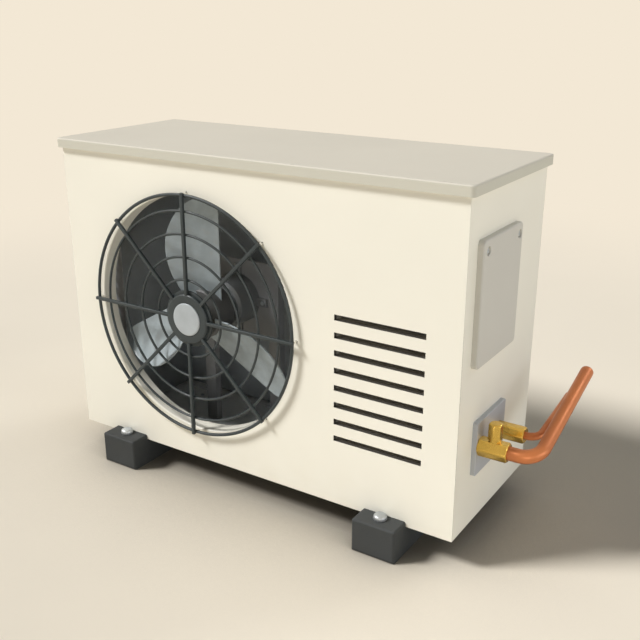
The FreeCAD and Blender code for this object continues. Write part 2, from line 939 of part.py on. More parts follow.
def top_cover():
    body = new_body("top_cover")
    x = half_width + s.cover_overhang
    y = back + s.cover_overhang
    thick = s.sheet_thick
    plate = new_drawing(body, "XY_Plane", lift=roof)
    rounded_rectangle(plate, -x, x, -y, y, s.cover_corner)
    pad(body, plate, thick)
    skirt = new_drawing(body, "XY_Plane", lift=skirt_level)
    rounded_rectangle(skirt, -x, x, -y, y, s.cover_corner)
    rounded_rectangle(skirt, thick - x, x - thick, thick - y, y - thick, s.cover_corner - thick)
    pad(body, skirt, roof - skirt_level)
    hem = new_drawing(body, "XY_Plane", lift=skirt_level)
    rounded_rectangle(hem, thick - x, x - thick, thick - y, y - thick, s.cover_corner - thick)
    rectangle(hem, -half_width - s.cover_play, half_width + s.cover_play,
              front - s.cover_play, back + s.cover_play)
    pad(body, hem, thick)
    soften(body, s.cover_edge, lambda edge: close_to(edge.BoundBox.ZMin, cover_top)
           and edge.BoundBox.ZLength < 0.01)
    rear = new_drawing(body, "XZ_Plane", lift=-y)
    for spot in (fold_screw, -fold_screw):
        circle(rear, spot, high_screws, screw_hole)
    pocket(body, rear, thick, reverse=True)
    left = new_drawing(body, "YZ_Plane", lift=-x)
    for spot in side_screws:
        circle(left, spot, high_screws, screw_hole)
    pocket(body, left, thick, reverse=True)


def cover_screws():
    y = back + s.cover_overhang
    x = -half_width - s.cover_overhang
    length = s.cover_overhang + s.screw_length / 2
    spots = [((side, y, high_screws), "y", 1) for side in (fold_screw, -fold_screw)]
    spots += [((x, spot, high_screws), "x", -1) for spot in side_screws]
    finish(union(*[screw(point, axis, outward, s.screw_radius, length, s.screw_head, s.screw_top)
                   for point, axis, outward in spots]), "cover_screws")


def panel_screws():
    # one kind of screw: lower edges of the panels, and the ears of the wire guard
    spots = [((x, back, low_screws), "y", 1) for x in (fold_screw, rear_screw_left, -fold_screw)]
    spots += [((-half_width, y, low_screws), "x", -1) for y in side_screws]
    spots += [((x, back + s.wire_thick, z), "y", 1)
              for x in (fold_screw, rear_screw_left) for z in tab_levels()]
    finish(union(*[small_screw(*spot) for spot in spots]), "panel_screws")


def partition_plate():
    body = new_body("partition_plate")
    y = baffle_front - s.sheet_thick
    outline = new_drawing(body, "XY_Plane", lift=pan_top)
    thick = s.sheet_thick
    left = partition_left
    polygon(outline, [(left, y), (left + s.partition_flange, y),
                      (left + s.partition_flange, y + thick), (left + thick, y + thick),
                      (left + thick, coil_front - s.seat_gap), (left, coil_front - s.seat_gap)])
    pad(body, outline, roof - s.seat_gap - pan_top)


def louvre_baffle():
    y = baffle_front
    x = (slot_left + slot_right) / 2
    reach = slot_length / 2 + s.baffle_margin
    top = s.slot_first + s.slot_pitch * (s.slot_count - 1)
    plate = block(partition_left + s.partition_flange - s.baffle_margin, x + reach,
                  y, y + s.sheet_thick, s.slot_first - s.baffle_margin, top + s.baffle_margin)
    finish(plate, "louvre_baffle")


# fan opening


def fan_guard():
    body = new_body("fan_guard", (fan_x, front, s.fan_level))
    wire = s.guard_wire
    rings = new_drawing(body, "XZ_Plane", lift=s.guard_standoff - wire / 2)
    centres = [s.ring_first + s.ring_pitch * i for i in range(4)] + [opening_radius + s.ring_margin]
    for radius in centres:
        circle(rings, 0, 0, radius - wire / 2)
        circle(rings, 0, 0, radius + wire / 2)
    pad(body, rings, wire)
    middle = new_drawing(body, "XZ_Plane", lift=s.guard_standoff - wire / 2)
    seat = s.spoke_front - s.hub_disc_thick
    circle(middle, 0, 0, s.hub_disc + s.spoke_width)
    pad(body, middle, seat - (s.guard_standoff - wire / 2))
    bar = new_drawing(body, "XZ_Plane", lift=seat - s.seat_gap)
    rectangle(bar, -s.spoke_width / 2, s.spoke_width / 2, s.hub_disc + s.seat_gap,
              opening_radius + s.spoke_margin)
    spoke = pad(body, bar, s.hub_disc_thick + s.seat_gap)
    around(body, spoke, bar, 8)
    pin = new_drawing(body, "XZ_Plane", lift=s.spoke_front - s.seat_gap)
    circle(pin, 0, leg_circle, s.leg_radius)
    leg = pad(body, pin, s.spoke_front + s.sheet_thick + s.guard_wire, reverse=True)
    around(body, leg, pin, 8)


def guard_hub():
    body = new_body("guard_hub", (fan_x, front, s.fan_level))
    disc = new_drawing(body, "XZ_Plane", lift=s.spoke_front - s.hub_disc_thick)
    circle(disc, 0, 0, s.hub_disc)
    pad(body, disc, s.hub_disc_thick)
    bevelled(body, s.opening_lip, lambda edge: is_round(edge, s.hub_disc)
           and close_to(edge.CenterOfMass.y, -s.spoke_front))
    socket = new_drawing(body, "XZ_Plane", lift=s.spoke_front)
    circle(socket, 0, 0, s.leg_radius * 2)
    pocket(body, socket, s.hub_disc_thick / 2)


def guard_cap():
    body = new_body("guard_cap", (fan_x, front, s.fan_level))
    disc = new_drawing(body, "XZ_Plane", lift=s.spoke_front)
    circle(disc, 0, 0, s.hub_cap)
    pad(body, disc, s.hub_cap_thick)
    bevelled(body, s.hub_cap_thick * 0.6, lambda edge: is_round(edge, s.hub_cap)
           and close_to(edge.CenterOfMass.y, -s.spoke_front - s.hub_cap_thick))
    plug = new_drawing(body, "XZ_Plane", lift=s.spoke_front)
    circle(plug, 0, 0, s.leg_radius * 2 - s.hole_play)
    pad(body, plug, s.hub_disc_thick / 2 - s.seat_gap, reverse=True)


def guard_clips():
    # push-on washers that hold the guard's legs behind the panel
    clips = []
    for i in range(8):
        angle = math.radians(45 * i)
        spot = (fan_x + leg_circle * math.sin(angle), inner_front,
                s.fan_level + leg_circle * math.cos(angle))
        ring = prism(8, s.leg_radius + s.sheet_thick, s.sheet_thick, spot, "y")
        clips.append(without(ring, rod(s.leg_radius + s.hole_play, s.sheet_thick, spot, "y")))
    finish(union(*clips), "guard_clips")


def fan_hub():
    body = new_body("fan_hub", (fan_x, front, s.fan_level))
    near = s.fan_hub_depth
    far = near + s.fan_hub_length
    bore = s.shaft_radius + s.shaft_play
    outer = s.fan_hub_radius
    wall = s.fan_wall
    cup = new_drawing(body, "YZ_Plane")
    polygon(cup, [(near, bore), (near, outer - wall), (near + wall, outer), (far, outer),
                  (far, outer - wall), (near + wall, outer - wall), (near + wall, s.fan_boss),
                  (far - wall, s.fan_boss), (far - wall, bore)])
    spun(body, cup, "H_Axis")
    ribs = new_drawing(body, "XZ_Plane", lift=-(near + wall))
    rectangle(ribs, -wall / 2, wall / 2, s.fan_boss - wall / 2, outer - wall / 2)
    rib = pad(body, ribs, s.fan_hub_length / 2, reverse=True)
    around(body, rib, ribs, 6)


def blade_edge(radius):
    # tangential reach of the curved edge: one parabola inside the belly, one outside
    if radius.value <= s.blade_belly_radius.value:
        share = (s.blade_belly_radius - radius) / (s.blade_belly_radius - s.blade_root_radius)
        return (s.blade_belly - s.blade_root_reach) * share * share - s.blade_belly
    share = (radius - s.blade_belly_radius) / (s.blade_tip_radius - s.blade_belly_radius)
    return (s.blade_belly - s.blade_tip_reach) * share * share - s.blade_belly


def blade_edge_depth(radius):
    share = (radius - s.blade_proud_radius) / (s.blade_tip_radius - s.blade_proud_radius)
    return blade_depth + s.blade_sweep * share * share


def blade_section(drawing, radius, inset):
    edge = blade_edge(radius) + inset
    straight = s.blade_straight - inset / 2
    near = blade_edge_depth(radius) + inset / 3
    far = s.blade_back + s.blade_straight_depth
    half = s.blade_thick / 2
    wide = straight - edge
    deep = far - near
    swell = s.blade_camber
    chord = wide * wide + deep * deep
    bend = chord / (swell * 8) + swell / 2
    length = math.sqrt(chord.value)
    over = FreeCAD.Vector(-deep.value / length, wide.value / length, 0) * swell.value
    arcs = []
    for lift in (-half, half):
        start, end = flat((edge, near + lift)), flat((straight, far + lift))
        arcs.append(drawing.addGeometry(Part.Arc(start, (start + end) * 0.5 + over, end)))
    for arc in arcs:
        rule(drawing, "Radius", arc, bend)
    left = line(drawing, (edge, near - half), (edge, near + half))
    right = line(drawing, (straight, far - half), (straight, far + half))
    for arc, spot in zip(arcs, (1, 2)):
        ends = [2, 1] if flat((edge, 0)).x < drawing.getPoint(arc, 2).x - 1 else [1, 2]
        drawing.addConstraint(Sketcher.Constraint("Coincident", arc, ends[1], left, spot))
        drawing.addConstraint(Sketcher.Constraint("Coincident", arc, ends[0], right, spot))


def fan_blade(number):
    turn = FreeCAD.Rotation(FreeCAD.Vector(0, 1, 0), 120 * (number - 1))
    body = new_body("fan_blade_%d" % number, (fan_x, front, s.fan_level), turn)
    inner = s.fan_hub_radius * 0.4
    span = blade_end - inner
    sections = []
    for share, inset in ((0, 0), (0.25, 0), (0.5, 0), (0.7, 0), (0.86, 0), (0.95, 2), (1, 12)):
        radius = inner + span * share
        section = new_drawing(body, "XY_Plane", lift=radius)
        blade_section(section, radius, inset)
        sections.append(section)
    blade = body.newObject("PartDesign::AdditiveLoft", "Blade")
    blade.Profile = sections[0]
    blade.Sections = sections[1:]
    blade.Ruled = True
    root = new_drawing(body, "XZ_Plane")
    circle(root, 0, 0, s.fan_hub_radius + s.blade_seat)
    pocket(body, root, s.body_depth / 2)


def fan_nut():
    spot = (fan_x, front + s.fan_hub_depth - s.nut_height, s.fan_level)
    nut = bevelled_nut(6, s.nut_radius, s.nut_height, spot, "y")
    hole = rod(s.shaft_radius + s.shaft_play, s.nut_height, spot, "y")
    finish(without(nut, hole), "fan_nut")


def motor_shaft():
    start = s.fan_hub_depth - s.nut_height - s.seat_gap * 5
    end = s.motor_depth + s.motor_length / 2
    finish(rod(s.shaft_radius, end - start, (fan_x, front + start, s.fan_level), "y"),
           "motor_shaft")


def fan_motor():
    body = new_body("fan_motor", (fan_x, front, s.fan_level))
    start = s.motor_depth
    nose = start + s.motor_nose
    end = nose + s.motor_length
    bore = s.shaft_radius + s.shaft_play
    bevel = s.motor_bevel
    outer = s.motor_radius
    shell = new_drawing(body, "YZ_Plane")
    polygon(shell, [(start, bore), (start, s.motor_boss), (nose, s.motor_boss),
                    (nose, outer - bevel), (nose + bevel, outer), (end - bevel, outer),
                    (end, outer - bevel), (end, 0), (start + s.motor_length / 2 + bevel, 0),
                    (start + s.motor_length / 2 + bevel, bore)])
    spun(body, shell, "H_Axis")
    ears = new_drawing(body, "XZ_Plane", lift=-plate_depth)
    rectangle(ears, -s.lug_width / 2, s.lug_width / 2, outer - bevel, s.lug_reach + s.lug_width / 2)
    circle(ears, 0, s.lug_reach, screw_hole)
    ear = pad(body, ears, s.lug_thick)
    around(body, ear, ears, 4)


def motor_bracket():
    front_face = front + plate_depth
    thick = s.bracket_thick
    reach = s.rail_side + s.rail_width / 2
    rise = s.bracket_height / 2
    plate = block(fan_x - reach, fan_x + reach, front_face, front_face + thick,
                  s.fan_level - rise, s.fan_level + rise)
    pieces = []
    web = front_face + thick
    for side in (-1, 1):
        middle = fan_x + s.rail_side * side
        low = middle - s.rail_width / 2
        high = middle + s.rail_width / 2
        bottom, top = pan_top, roof - s.seat_gap
        pieces.append(block(low, high, web, web + thick, bottom, top))
        pieces.append(block(low, low + thick, web, web + s.rail_depth, bottom, top))
        pieces.append(block(high - thick, high, web, web + s.rail_depth, bottom, top))
    whole = union(plate, *pieces)
    centre = (fan_x, front_face, s.fan_level)
    tools = [rod(s.motor_radius + 1, thick, centre, "y")]
    for point in motor_screw_spots():
        tools.append(rod(screw_hole, thick * 2, point, "y"))
    finish(without(whole, *tools), "motor_bracket")


def motor_screw_spots():
    y = front + plate_depth
    return [(fan_x, y, s.fan_level + s.lug_reach), (fan_x, y, s.fan_level - s.lug_reach),
            (fan_x + s.lug_reach, y, s.fan_level), (fan_x - s.lug_reach, y, s.fan_level)]


def motor_screws():
    screws = []
    for point in motor_screw_spots():
        seat = moved(point, "y", -s.lug_thick)
        screws.append(screw(seat, "y", -1, s.screw_radius, s.screw_length,
                            s.screw_head, s.screw_top))
    finish(union(*screws), "motor_screws")


# coil


def coil_fins():
    body = new_body("coil_fins")
    outline = new_drawing(body, "XY_Plane", lift=pan_top + s.pan_rib)
    left = s.coil_space - inner_side
    right = coil_right
    inner = left + s.coil_thick
    end = coil_back - s.coil_short_leg
    polygon(outline, [(left, end), (inner, end), (inner, coil_front), (right, coil_front),
                      (right, coil_back), (left, coil_back)])
    pad(body, outline, roof - s.coil_top_space - pan_top - s.pan_rib)
    soften(body, s.coil_corner, lambda edge: close_to(edge.CenterOfMass.x, left)
           and close_to(edge.CenterOfMass.y, coil_back))


def coil_end_plates():
    thick = s.sheet_thick
    bottom = pan_top + s.pan_rib
    top = roof - s.coil_top_space
    right = coil_right
    finish(block(right, right + thick, coil_front, coil_back, bottom, top), "coil_end_plate_right")
    left = s.coil_space - inner_side
    end = coil_back - s.coil_short_leg
    finish(block(left, left + s.coil_thick, end - thick, end, bottom, top), "coil_end_plate_left")


def coil_bends():
    x = coil_right + s.sheet_thick
    y = coil_back - s.coil_thick / 2
    low = s.valve_level - s.bend_pitch / 2
    room = roof - s.coil_top_space - low - s.bend_radius - s.bend_tube
    body = new_body("coil_bends", (x, y, low))
    section = new_drawing(body, "YZ_Plane")
    few_sided(section, 0, s.bend_radius, s.bend_tube)
    bend = spun(body, section, "H_Axis")
    bend.Angle = 180
    count = int((room / s.bend_pitch).value) + 1
    in_row(body, bend, section, "V_Axis", count, s.bend_pitch)


# compressor side


def compressor_shell():
    body = new_body("compressor_shell", (compressor_x, s.compressor_back, compressor_bottom))
    radius = s.compressor_radius
    profile = new_drawing(body, "XZ_Plane")
    dome = s.compressor_dome
    height = s.compressor_height
    shoulder = radius - dome * 0.4
    polygon(profile, [(0, 0), (radius - dome, 0), (shoulder, dome * 0.3), (radius, dome),
                      (radius, height - dome), (shoulder, height - dome * 0.3),
                      (radius - dome, height), (0, height)])
    spun(body, profile, "V_Axis")
    arms = new_drawing(body, "XY_Plane")
    wide = s.grommet_radius
    rectangle(arms, -wide, wide, 0, s.compressor_foot + wide)
    arm = pad(body, arms, s.foot_plate, reverse=True)
    around(body, arm, arms, 3)
    bolts = new_drawing(body, "XY_Plane")
    circle(bolts, 0, s.compressor_foot, s.stud_radius + s.seat_gap)
    hole = pocket(body, bolts, s.foot_plate)
    around(body, hole, bolts, 3)


def stud_spots(level):
    spots = []
    for i in range(3):
        angle = math.radians(120 * i)
        spots.append((compressor_x - s.compressor_foot * math.sin(angle),
                      s.compressor_back + s.compressor_foot * math.cos(angle), level))
    return spots


def compressor_mounts():
    grommets = []
    for spot in stud_spots(pan_top):
        ring = rod(s.grommet_radius, s.grommet_height, spot)
        hole = rod(s.stud_radius + s.hole_play, s.grommet_height, spot)
        grommets.append(without(ring, hole))
    finish(union(*grommets), "compressor_grommets")
    nuts = []
    for spot in stud_spots(compressor_bottom):
        nut = prism(6, s.stud_radius * 1.8, s.stud_radius * 1.2, spot)
        nuts.append(without(nut, rod(s.stud_radius + s.hole_play, s.stud_radius * 1.2, spot)))
    finish(union(*nuts), "compressor_nuts")


def compressor_terminal_cover():
    side = compressor_x + s.compressor_radius
    middle = s.compressor_back
    low = compressor_bottom + s.compressor_height / 2
    half = s.terminal_width / 2
    high = low + s.terminal_height
    box = block(side - s.terminal_depth / 2, side + s.terminal_depth, middle - half,
                middle + half, low, high)
    shell = rod(s.compressor_radius, s.terminal_height, (compressor_x, middle, low))
    face = side + s.terminal_depth
    soft = rounded(box, s.terminal_edge, lambda edge: close_to(edge.CenterOfMass.x, face))
    finish(without(soft, shell), "compressor_terminal_cover")


def accumulator():
    spot = (accumulator_x, -s.accumulator_front, s.accumulator_bottom)
    finish(barrel(s.accumulator_radius, s.accumulator_height, s.accumulator_radius * 0.35, spot),
           "accumulator")


def toward_compressor():
    across = (compressor_x - accumulator_x).value
    along = (s.compressor_back + s.accumulator_front).value
    return math.degrees(math.atan2(along, across)), math.hypot(across, along)


def accumulator_strap():
    angle, distance = toward_compressor()
    level = s.accumulator_bottom + s.strap_level
    spot = (accumulator_x, -s.accumulator_front, level)
    outer = rod(s.accumulator_radius + s.sheet_thick, s.strap_width, spot)
    arm = doc.addObject("Part::Box", "Arm")
    bind(arm, "Length", as_size(distance))
    bind(arm, "Width", s.strap_width)
    bind(arm, "Height", s.strap_width)
    turn = FreeCAD.Rotation(FreeCAD.Vector(0, 0, 1), angle)
    half = s.strap_width / 2
    lean = math.radians(angle)
    corner = (accumulator_x + half * math.sin(lean), -s.accumulator_front - half * math.cos(lean),
              level)
    place(arm, corner, turn)
    inside = rod(s.accumulator_radius, s.strap_width, spot)
    shell = rod(s.compressor_radius, s.strap_width, (compressor_x, s.compressor_back, level))
    finish(without(union(outer, arm), inside, shell), "accumulator_strap")


def suction_elbow():
    angle, distance = toward_compressor()
    turn = FreeCAD.Rotation(FreeCAD.Vector(0, 0, 1), angle)
    level = s.accumulator_bottom
    body = new_body("suction_elbow", (accumulator_x, -s.accumulator_front, level), turn)
    path = new_drawing(body, "XZ_Plane")
    drop = s.elbow_drop
    reach = distance - s.compressor_radius + s.sheet_thick
    pieces = bent_path(path, [(0, 0), (0, -drop), (reach, -drop)], s.elbow_bend)
    profile = new_drawing(body, "XY_Plane")
    few_sided(profile, 0, 0, s.elbow_tube)
    swept(body, profile, path, pieces)
    shell = new_drawing(body, "XY_Plane", distance, 0, -drop * 2)
    circle(shell, 0, 0, s.compressor_radius)
    pocket(body, shell, drop * 2, reverse=True)


def suction_line():
    body = new_body("suction_line")
    path = new_drawing(body, "XZ_Plane", lift=s.gas_front)
    reach = neck_end - s.large_tube * 3.5
    level = s.suction_level
    vessel = s.accumulator_bottom + s.accumulator_height
    pieces = bent_path(path, [(neck_end, s.valve_level), (reach, s.valve_level), (reach, level),
                              (accumulator_x, level), (accumulator_x, vessel)], s.tube_bend)
    profile = new_drawing(body, "YZ_Plane", -s.gas_front, s.valve_level, neck_end)
    few_sided(profile, 0, 0, s.large_tube)
    swept(body, profile, path, pieces)


def discharge_pipe():
    body = new_body("discharge_pipe")
    top = compressor_bottom + s.compressor_height
    level = s.discharge_level
    y = coil_back - s.coil_thick / 2
    end = coil_right + s.sheet_thick
    bend = s.tube_bend
    rise = new_drawing(body, "YZ_Plane", lift=compressor_x)
    pieces = bent_path(rise, [(s.compressor_back, top), (s.compressor_back, level),
                              (y - bend, level)], bend)
    profile = new_drawing(body, "XY_Plane", compressor_x, s.compressor_back, top)
    few_sided(profile, 0, 0, s.small_tube)
    swept(body, profile, rise, pieces)
    cross = new_drawing(body, "XY_Plane", lift=level)
    pieces = bent_path(cross, [(compressor_x, y - bend - 1), (compressor_x, y), (end, y)], bend)
    profile = new_drawing(body, "XZ_Plane", compressor_x, level, bend + 1 - y)
    few_sided(profile, 0, 0, s.small_tube)
    swept(body, profile, cross, pieces)


def liquid_line():
    body = new_body("liquid_line")
    path = new_drawing(body, "XY_Plane", lift=s.valve_level)
    reach = neck_end - s.liquid_bend - s.sheet_thick
    end = coil_right + s.sheet_thick
    y = coil_back - s.coil_thick / 2
    pieces = bent_path(path, [(neck_end, -s.liquid_front), (reach, -s.liquid_front), (reach, y),
                              (end, y)], s.liquid_bend)
    profile = new_drawing(body, "YZ_Plane", -s.liquid_front, s.valve_level, neck_end)
    few_sided(profile, 0, 0, s.small_tube)
    swept(body, profile, path, pieces)


def filter_drier():
    x = compressor_x - s.drier_length / 2
    y = coil_back - s.coil_thick / 2
    spot = (x, y, s.valve_level)
    shell = barrel(s.drier_radius, s.drier_length, s.drier_radius * 0.4, spot, "x")
    hole = rod(s.small_tube + s.hole_play, s.drier_length, spot, "x")
    finish(without(shell, hole), "filter_drier")


# controls


def control_box():
    left = inner_side - s.control_depth
    wall = s.sheet_thick
    low = s.control_bottom
    high = low + s.control_height
    outer = block(left, inner_side, -s.control_front, s.control_back, low, high)
    inner = block(left + wall, inner_side, wall - s.control_front, s.control_back - wall,
                  low + wall, high - wall)
    finish(without(outer, inner), "control_box")


def control_board():
    face = inner_side - s.control_depth + s.sheet_thick
    level = s.control_bottom + s.control_height / 2
    finish(block(face, face + s.board_thick, s.board_margin - s.control_front,
                 s.control_back - s.board_margin, level, level + s.board_height),
           "control_board")


def capacitor():
    x = inner_side - s.control_depth + s.sheet_thick + s.can_offset
    y = s.control_back - s.can_margin
    floor = s.control_bottom + s.sheet_thick
    top = floor + s.can_height
    can = barrel(s.can_radius, s.can_height, s.board_thick, (x, y, floor))
    tags = []
    for side in (x - s.tag_width * 2, x + s.tag_width):
        tags.append(block(side, side + s.tag_width, y - s.board_thick / 2, y + s.board_thick / 2,
                          top, top + s.tag_height))
    finish(union(can, *tags), "capacitor")


def terminal_block():
    face = inner_side - s.control_depth + s.sheet_thick
    low = s.control_bottom + s.control_height / 2 - s.block_drop
    start = s.block_margin - s.control_front
    pitch = s.cell_width + s.cell_wall
    count = int(s.cell_count.value)
    end = start + pitch * s.cell_count + s.cell_wall
    base = block(face, face + s.block_depth, start, end, low, low + s.block_height)
    cells = []
    for i in range(count):
        y = start + s.cell_wall + pitch * i
        cells.append(block(face + s.block_depth - s.cell_depth, face + s.block_depth,
                           y, y + s.cell_width, low + s.cell_wall,
                           low + s.block_height - s.cell_wall))
    finish(without(base, *cells), "terminal_block")


# service side


def service_cover():
    body = new_body("service_cover")
    wall = s.service_wall
    low = s.service_bottom
    high = low + s.service_height
    outline = new_drawing(body, "YZ_Plane", lift=half_width)
    rounded_rectangle(outline, -s.service_front, s.service_back, low, high, s.service_corner)
    pad(body, outline, s.service_thick)
    face = half_width + s.service_thick
    soften(body, s.service_edge, lambda edge: close_to(edge.BoundBox.XMin, face)
           and edge.BoundBox.XLength < 0.01)
    hollow = new_drawing(body, "YZ_Plane", lift=half_width)
    rounded_rectangle(hollow, wall - s.service_front, s.service_back - wall, low + wall,
                      high - wall, s.service_corner - wall)
    pocket(body, hollow, s.service_depth, reverse=True)
    bosses = new_drawing(body, "YZ_Plane", lift=half_width)
    for y in (-s.service_screw_front, s.service_screw_back):
        circle(bosses, y, s.service_screw_level, s.screw_head + s.service_wall)
    pad(body, bosses, s.service_thick - wall)
    seats = new_drawing(body, "YZ_Plane", lift=face)
    holes = new_drawing(body, "YZ_Plane", lift=face)
    for y in (-s.service_screw_front, s.service_screw_back):
        circle(seats, y, s.service_screw_level, s.screw_head + s.hole_play)
        circle(holes, y, s.service_screw_level, screw_hole)
    pocket(body, seats, s.screw_top)
    pocket(body, holes, s.service_thick)


def service_cover_screws():
    x = half_width + s.service_thick - s.screw_top
    screws = []
    for y in (-s.service_screw_front, s.service_screw_back):
        head = rod(s.screw_head, s.screw_top, (x, y, s.service_screw_level), "x")
        shank = rod(s.screw_radius, s.service_thick + s.screw_top,
                    (x - s.service_thick - s.screw_top, y, s.service_screw_level), "x")
        screws.append(union(head, shank))
    finish(union(*screws), "service_cover_screws")


def valve_plate():
    body = new_body("valve_plate")
    wall = s.service_wall
    low = s.plate_bottom
    high = low + s.plate_height
    corner = s.service_wall
    outline = new_drawing(body, "YZ_Plane", lift=half_width)
    rounded_rectangle(outline, -s.plate_front, s.plate_back, low, high, corner * 1.5)
    pad(body, outline, s.plate_thick)
    soften(body, wall * 0.6, lambda edge: close_to(edge.BoundBox.XMin, valve_start)
           and edge.BoundBox.XLength < 0.01)
    hollow = new_drawing(body, "YZ_Plane", lift=half_width)
    rectangle(hollow, wall - s.plate_front, s.plate_back - wall, low + wall, high - wall)
    pocket(body, hollow, s.plate_thick - wall, reverse=True)
    holes = new_drawing(body, "YZ_Plane", lift=valve_start)
    for y in (-s.gas_front, -s.liquid_front):
        circle(holes, y, s.valve_level, s.neck_radius + s.hole_play)
    pocket(body, holes, wall)


def valve_neck(y):
    spot = (neck_end, y, s.valve_level)
    return rod(s.neck_radius, s.neck_length, spot, "x")


def flow_bore(y):
    return rod(s.neck_bore, s.neck_length + s.valve_length, (neck_end, y, s.valve_level), "x")


def valve_lock_nuts():
    nuts = []
    for y in (-s.gas_front, -s.liquid_front):
        thick = s.lock_nut / 2
        spot = (inner_side - thick, y, s.valve_level)
        nut = prism(6, s.lock_nut, thick, spot, "x")
        nuts.append(without(nut, rod(s.neck_radius + s.hole_play, thick, spot, "x")))
    finish(union(*nuts), "valve_lock_nuts")


def gas_valve_body():
    y = -s.gas_front
    spot = (valve_start, y, s.valve_level)
    barrel = prism(6, s.gas_size, s.valve_length, spot, "x")
    tower = rod(s.tower_radius, tower_height, (stem_x, y, s.valve_level))
    whole = union(barrel, valve_neck(y), tower)
    stem = rod(s.stem_radius + s.shaft_play, s.stem_depth + s.seat_gap + tower_height,
               (stem_x, y, s.valve_level - s.stem_depth - s.seat_gap))
    finish(without(whole, flow_bore(y), stem), "gas_valve_body")


def gas_valve_spindle():
    y = -s.gas_front
    low = s.valve_level - s.stem_depth
    stem = rod(s.stem_radius, s.stem_length, (stem_x, y, low))
    socket = prism(6, s.stem_radius * 0.6, s.stem_radius, (stem_x, y, low + s.stem_length
                                                          - s.stem_radius))
    flow = rod(s.stem_radius * 0.8, s.stem_radius * 2, (stem_x - s.stem_radius, y, s.valve_level),
               "x")
    finish(without(stem, socket, flow), "gas_valve_spindle")


def gas_valve_cap():
    y = -s.gas_front
    spot = (stem_x, y, tower_top)
    cap = bevelled_nut(6, s.cap_radius, s.cap_height, spot)
    hollow = rod(s.cap_bore, s.cap_height - s.service_wall * 2, spot)
    finish(without(cap, hollow), "gas_valve_cap")


def flare_nut(label, sides, radius, bore, y):
    spot = (valve_end, y, s.valve_level)
    nut = bevelled_nut(sides, radius, s.flare_length, spot, "x")
    finish(without(nut, rod(bore + s.hole_play, s.flare_length, spot, "x")), label)


def liquid_valve_body():
    y = -s.liquid_front
    spot = (valve_start, y, s.valve_level)
    barrel = prism(6, s.liquid_size, s.valve_length, spot, "x")
    finish(without(union(barrel, valve_neck(y)), flow_bore(y)), "liquid_valve_body")


def line_stub(label, y, radius, run, length, bend, rise, end):
    turn = FreeCAD.Rotation(FreeCAD.Vector(1, 0, 0), rise.value)
    body = new_body(label, (valve_end, y, s.valve_level), turn)
    path = new_drawing(body, "XY_Plane")
    pieces = bent_path(path, [(0, 0), (run, 0), (run, length)], bend)
    profile = new_drawing(body, "YZ_Plane")
    circle(profile, 0, 0, radius)
    swept(body, profile, path, pieces)
    soften(body, end, lambda edge: is_round(edge, radius)
           and close_to(edge.CenterOfMass.y, length))


def build():
    foot_bar("foot_bar_left", -foot_centre)
    foot_bar("foot_bar_right", foot_centre)
    foot_inserts()
    foot_bolts()
    base_pan()
    pan_screws()
    front_panel()
    side_panel_left()
    side_panel_right()
    rear_panel()
    coil_guard()
    top_cover()
    cover_screws()
    panel_screws()
    partition_plate()
    louvre_baffle()
    fan_guard()
    guard_hub()
    guard_cap()
    guard_clips()
    fan_hub()
    for number in (1, 2, 3):
        fan_blade(number)
    fan_nut()
    motor_shaft()
    fan_motor()
    motor_bracket()
    motor_screws()
    coil_fins()
    coil_end_plates()
    coil_bends()
    compressor_shell()
    compressor_mounts()
    compressor_terminal_cover()
    accumulator()
    accumulator_strap()
    suction_elbow()
    suction_line()
    discharge_pipe()
    liquid_line()
    filter_drier()
    control_box()
    control_board()
    capacitor()
    terminal_block()
    service_cover()
    service_cover_screws()
    valve_plate()
    valve_lock_nuts()
    gas_valve_body()
    gas_valve_spindle()
    gas_valve_cap()
    flare_nut("gas_flare_nut", 6, s.gas_size, s.gas_pipe_radius, -s.gas_front)
    liquid_valve_body()
    flare_nut("liquid_flare_nut", 6, s.liquid_size, s.liquid_pipe_radius, -s.liquid_front)
    line_stub("gas_pipe", -s.gas_front, s.gas_pipe_radius, s.gas_pipe_run, s.gas_pipe_length,
              s.gas_pipe_bend, s.gas_rise, s.gas_end)
    line_stub("liquid_pipe", -s.liquid_front, s.liquid_pipe_radius, s.liquid_pipe_run,
              s.liquid_pipe_length, s.liquid_pipe_bend, s.liquid_rise, s.liquid_end)
    doc.recompute()


build()

faults = []
for item in doc.Objects:
    if "Invalid" in item.State or "Error" in item.State:
        faults.append("%s %s" % (item.Name, item.State))
for item in made:
    if item.Shape.isNull() or not item.Shape.isValid() or not item.Shape.Solids:
        faults.append(item.Label)
if faults:
    raise ValueError("not sound: " + ", ".join(faults))

for item in made:
    item.Shape.exportStep("parts/%s.step" % item.Label)
print("written", len(made))
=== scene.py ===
import json
import math

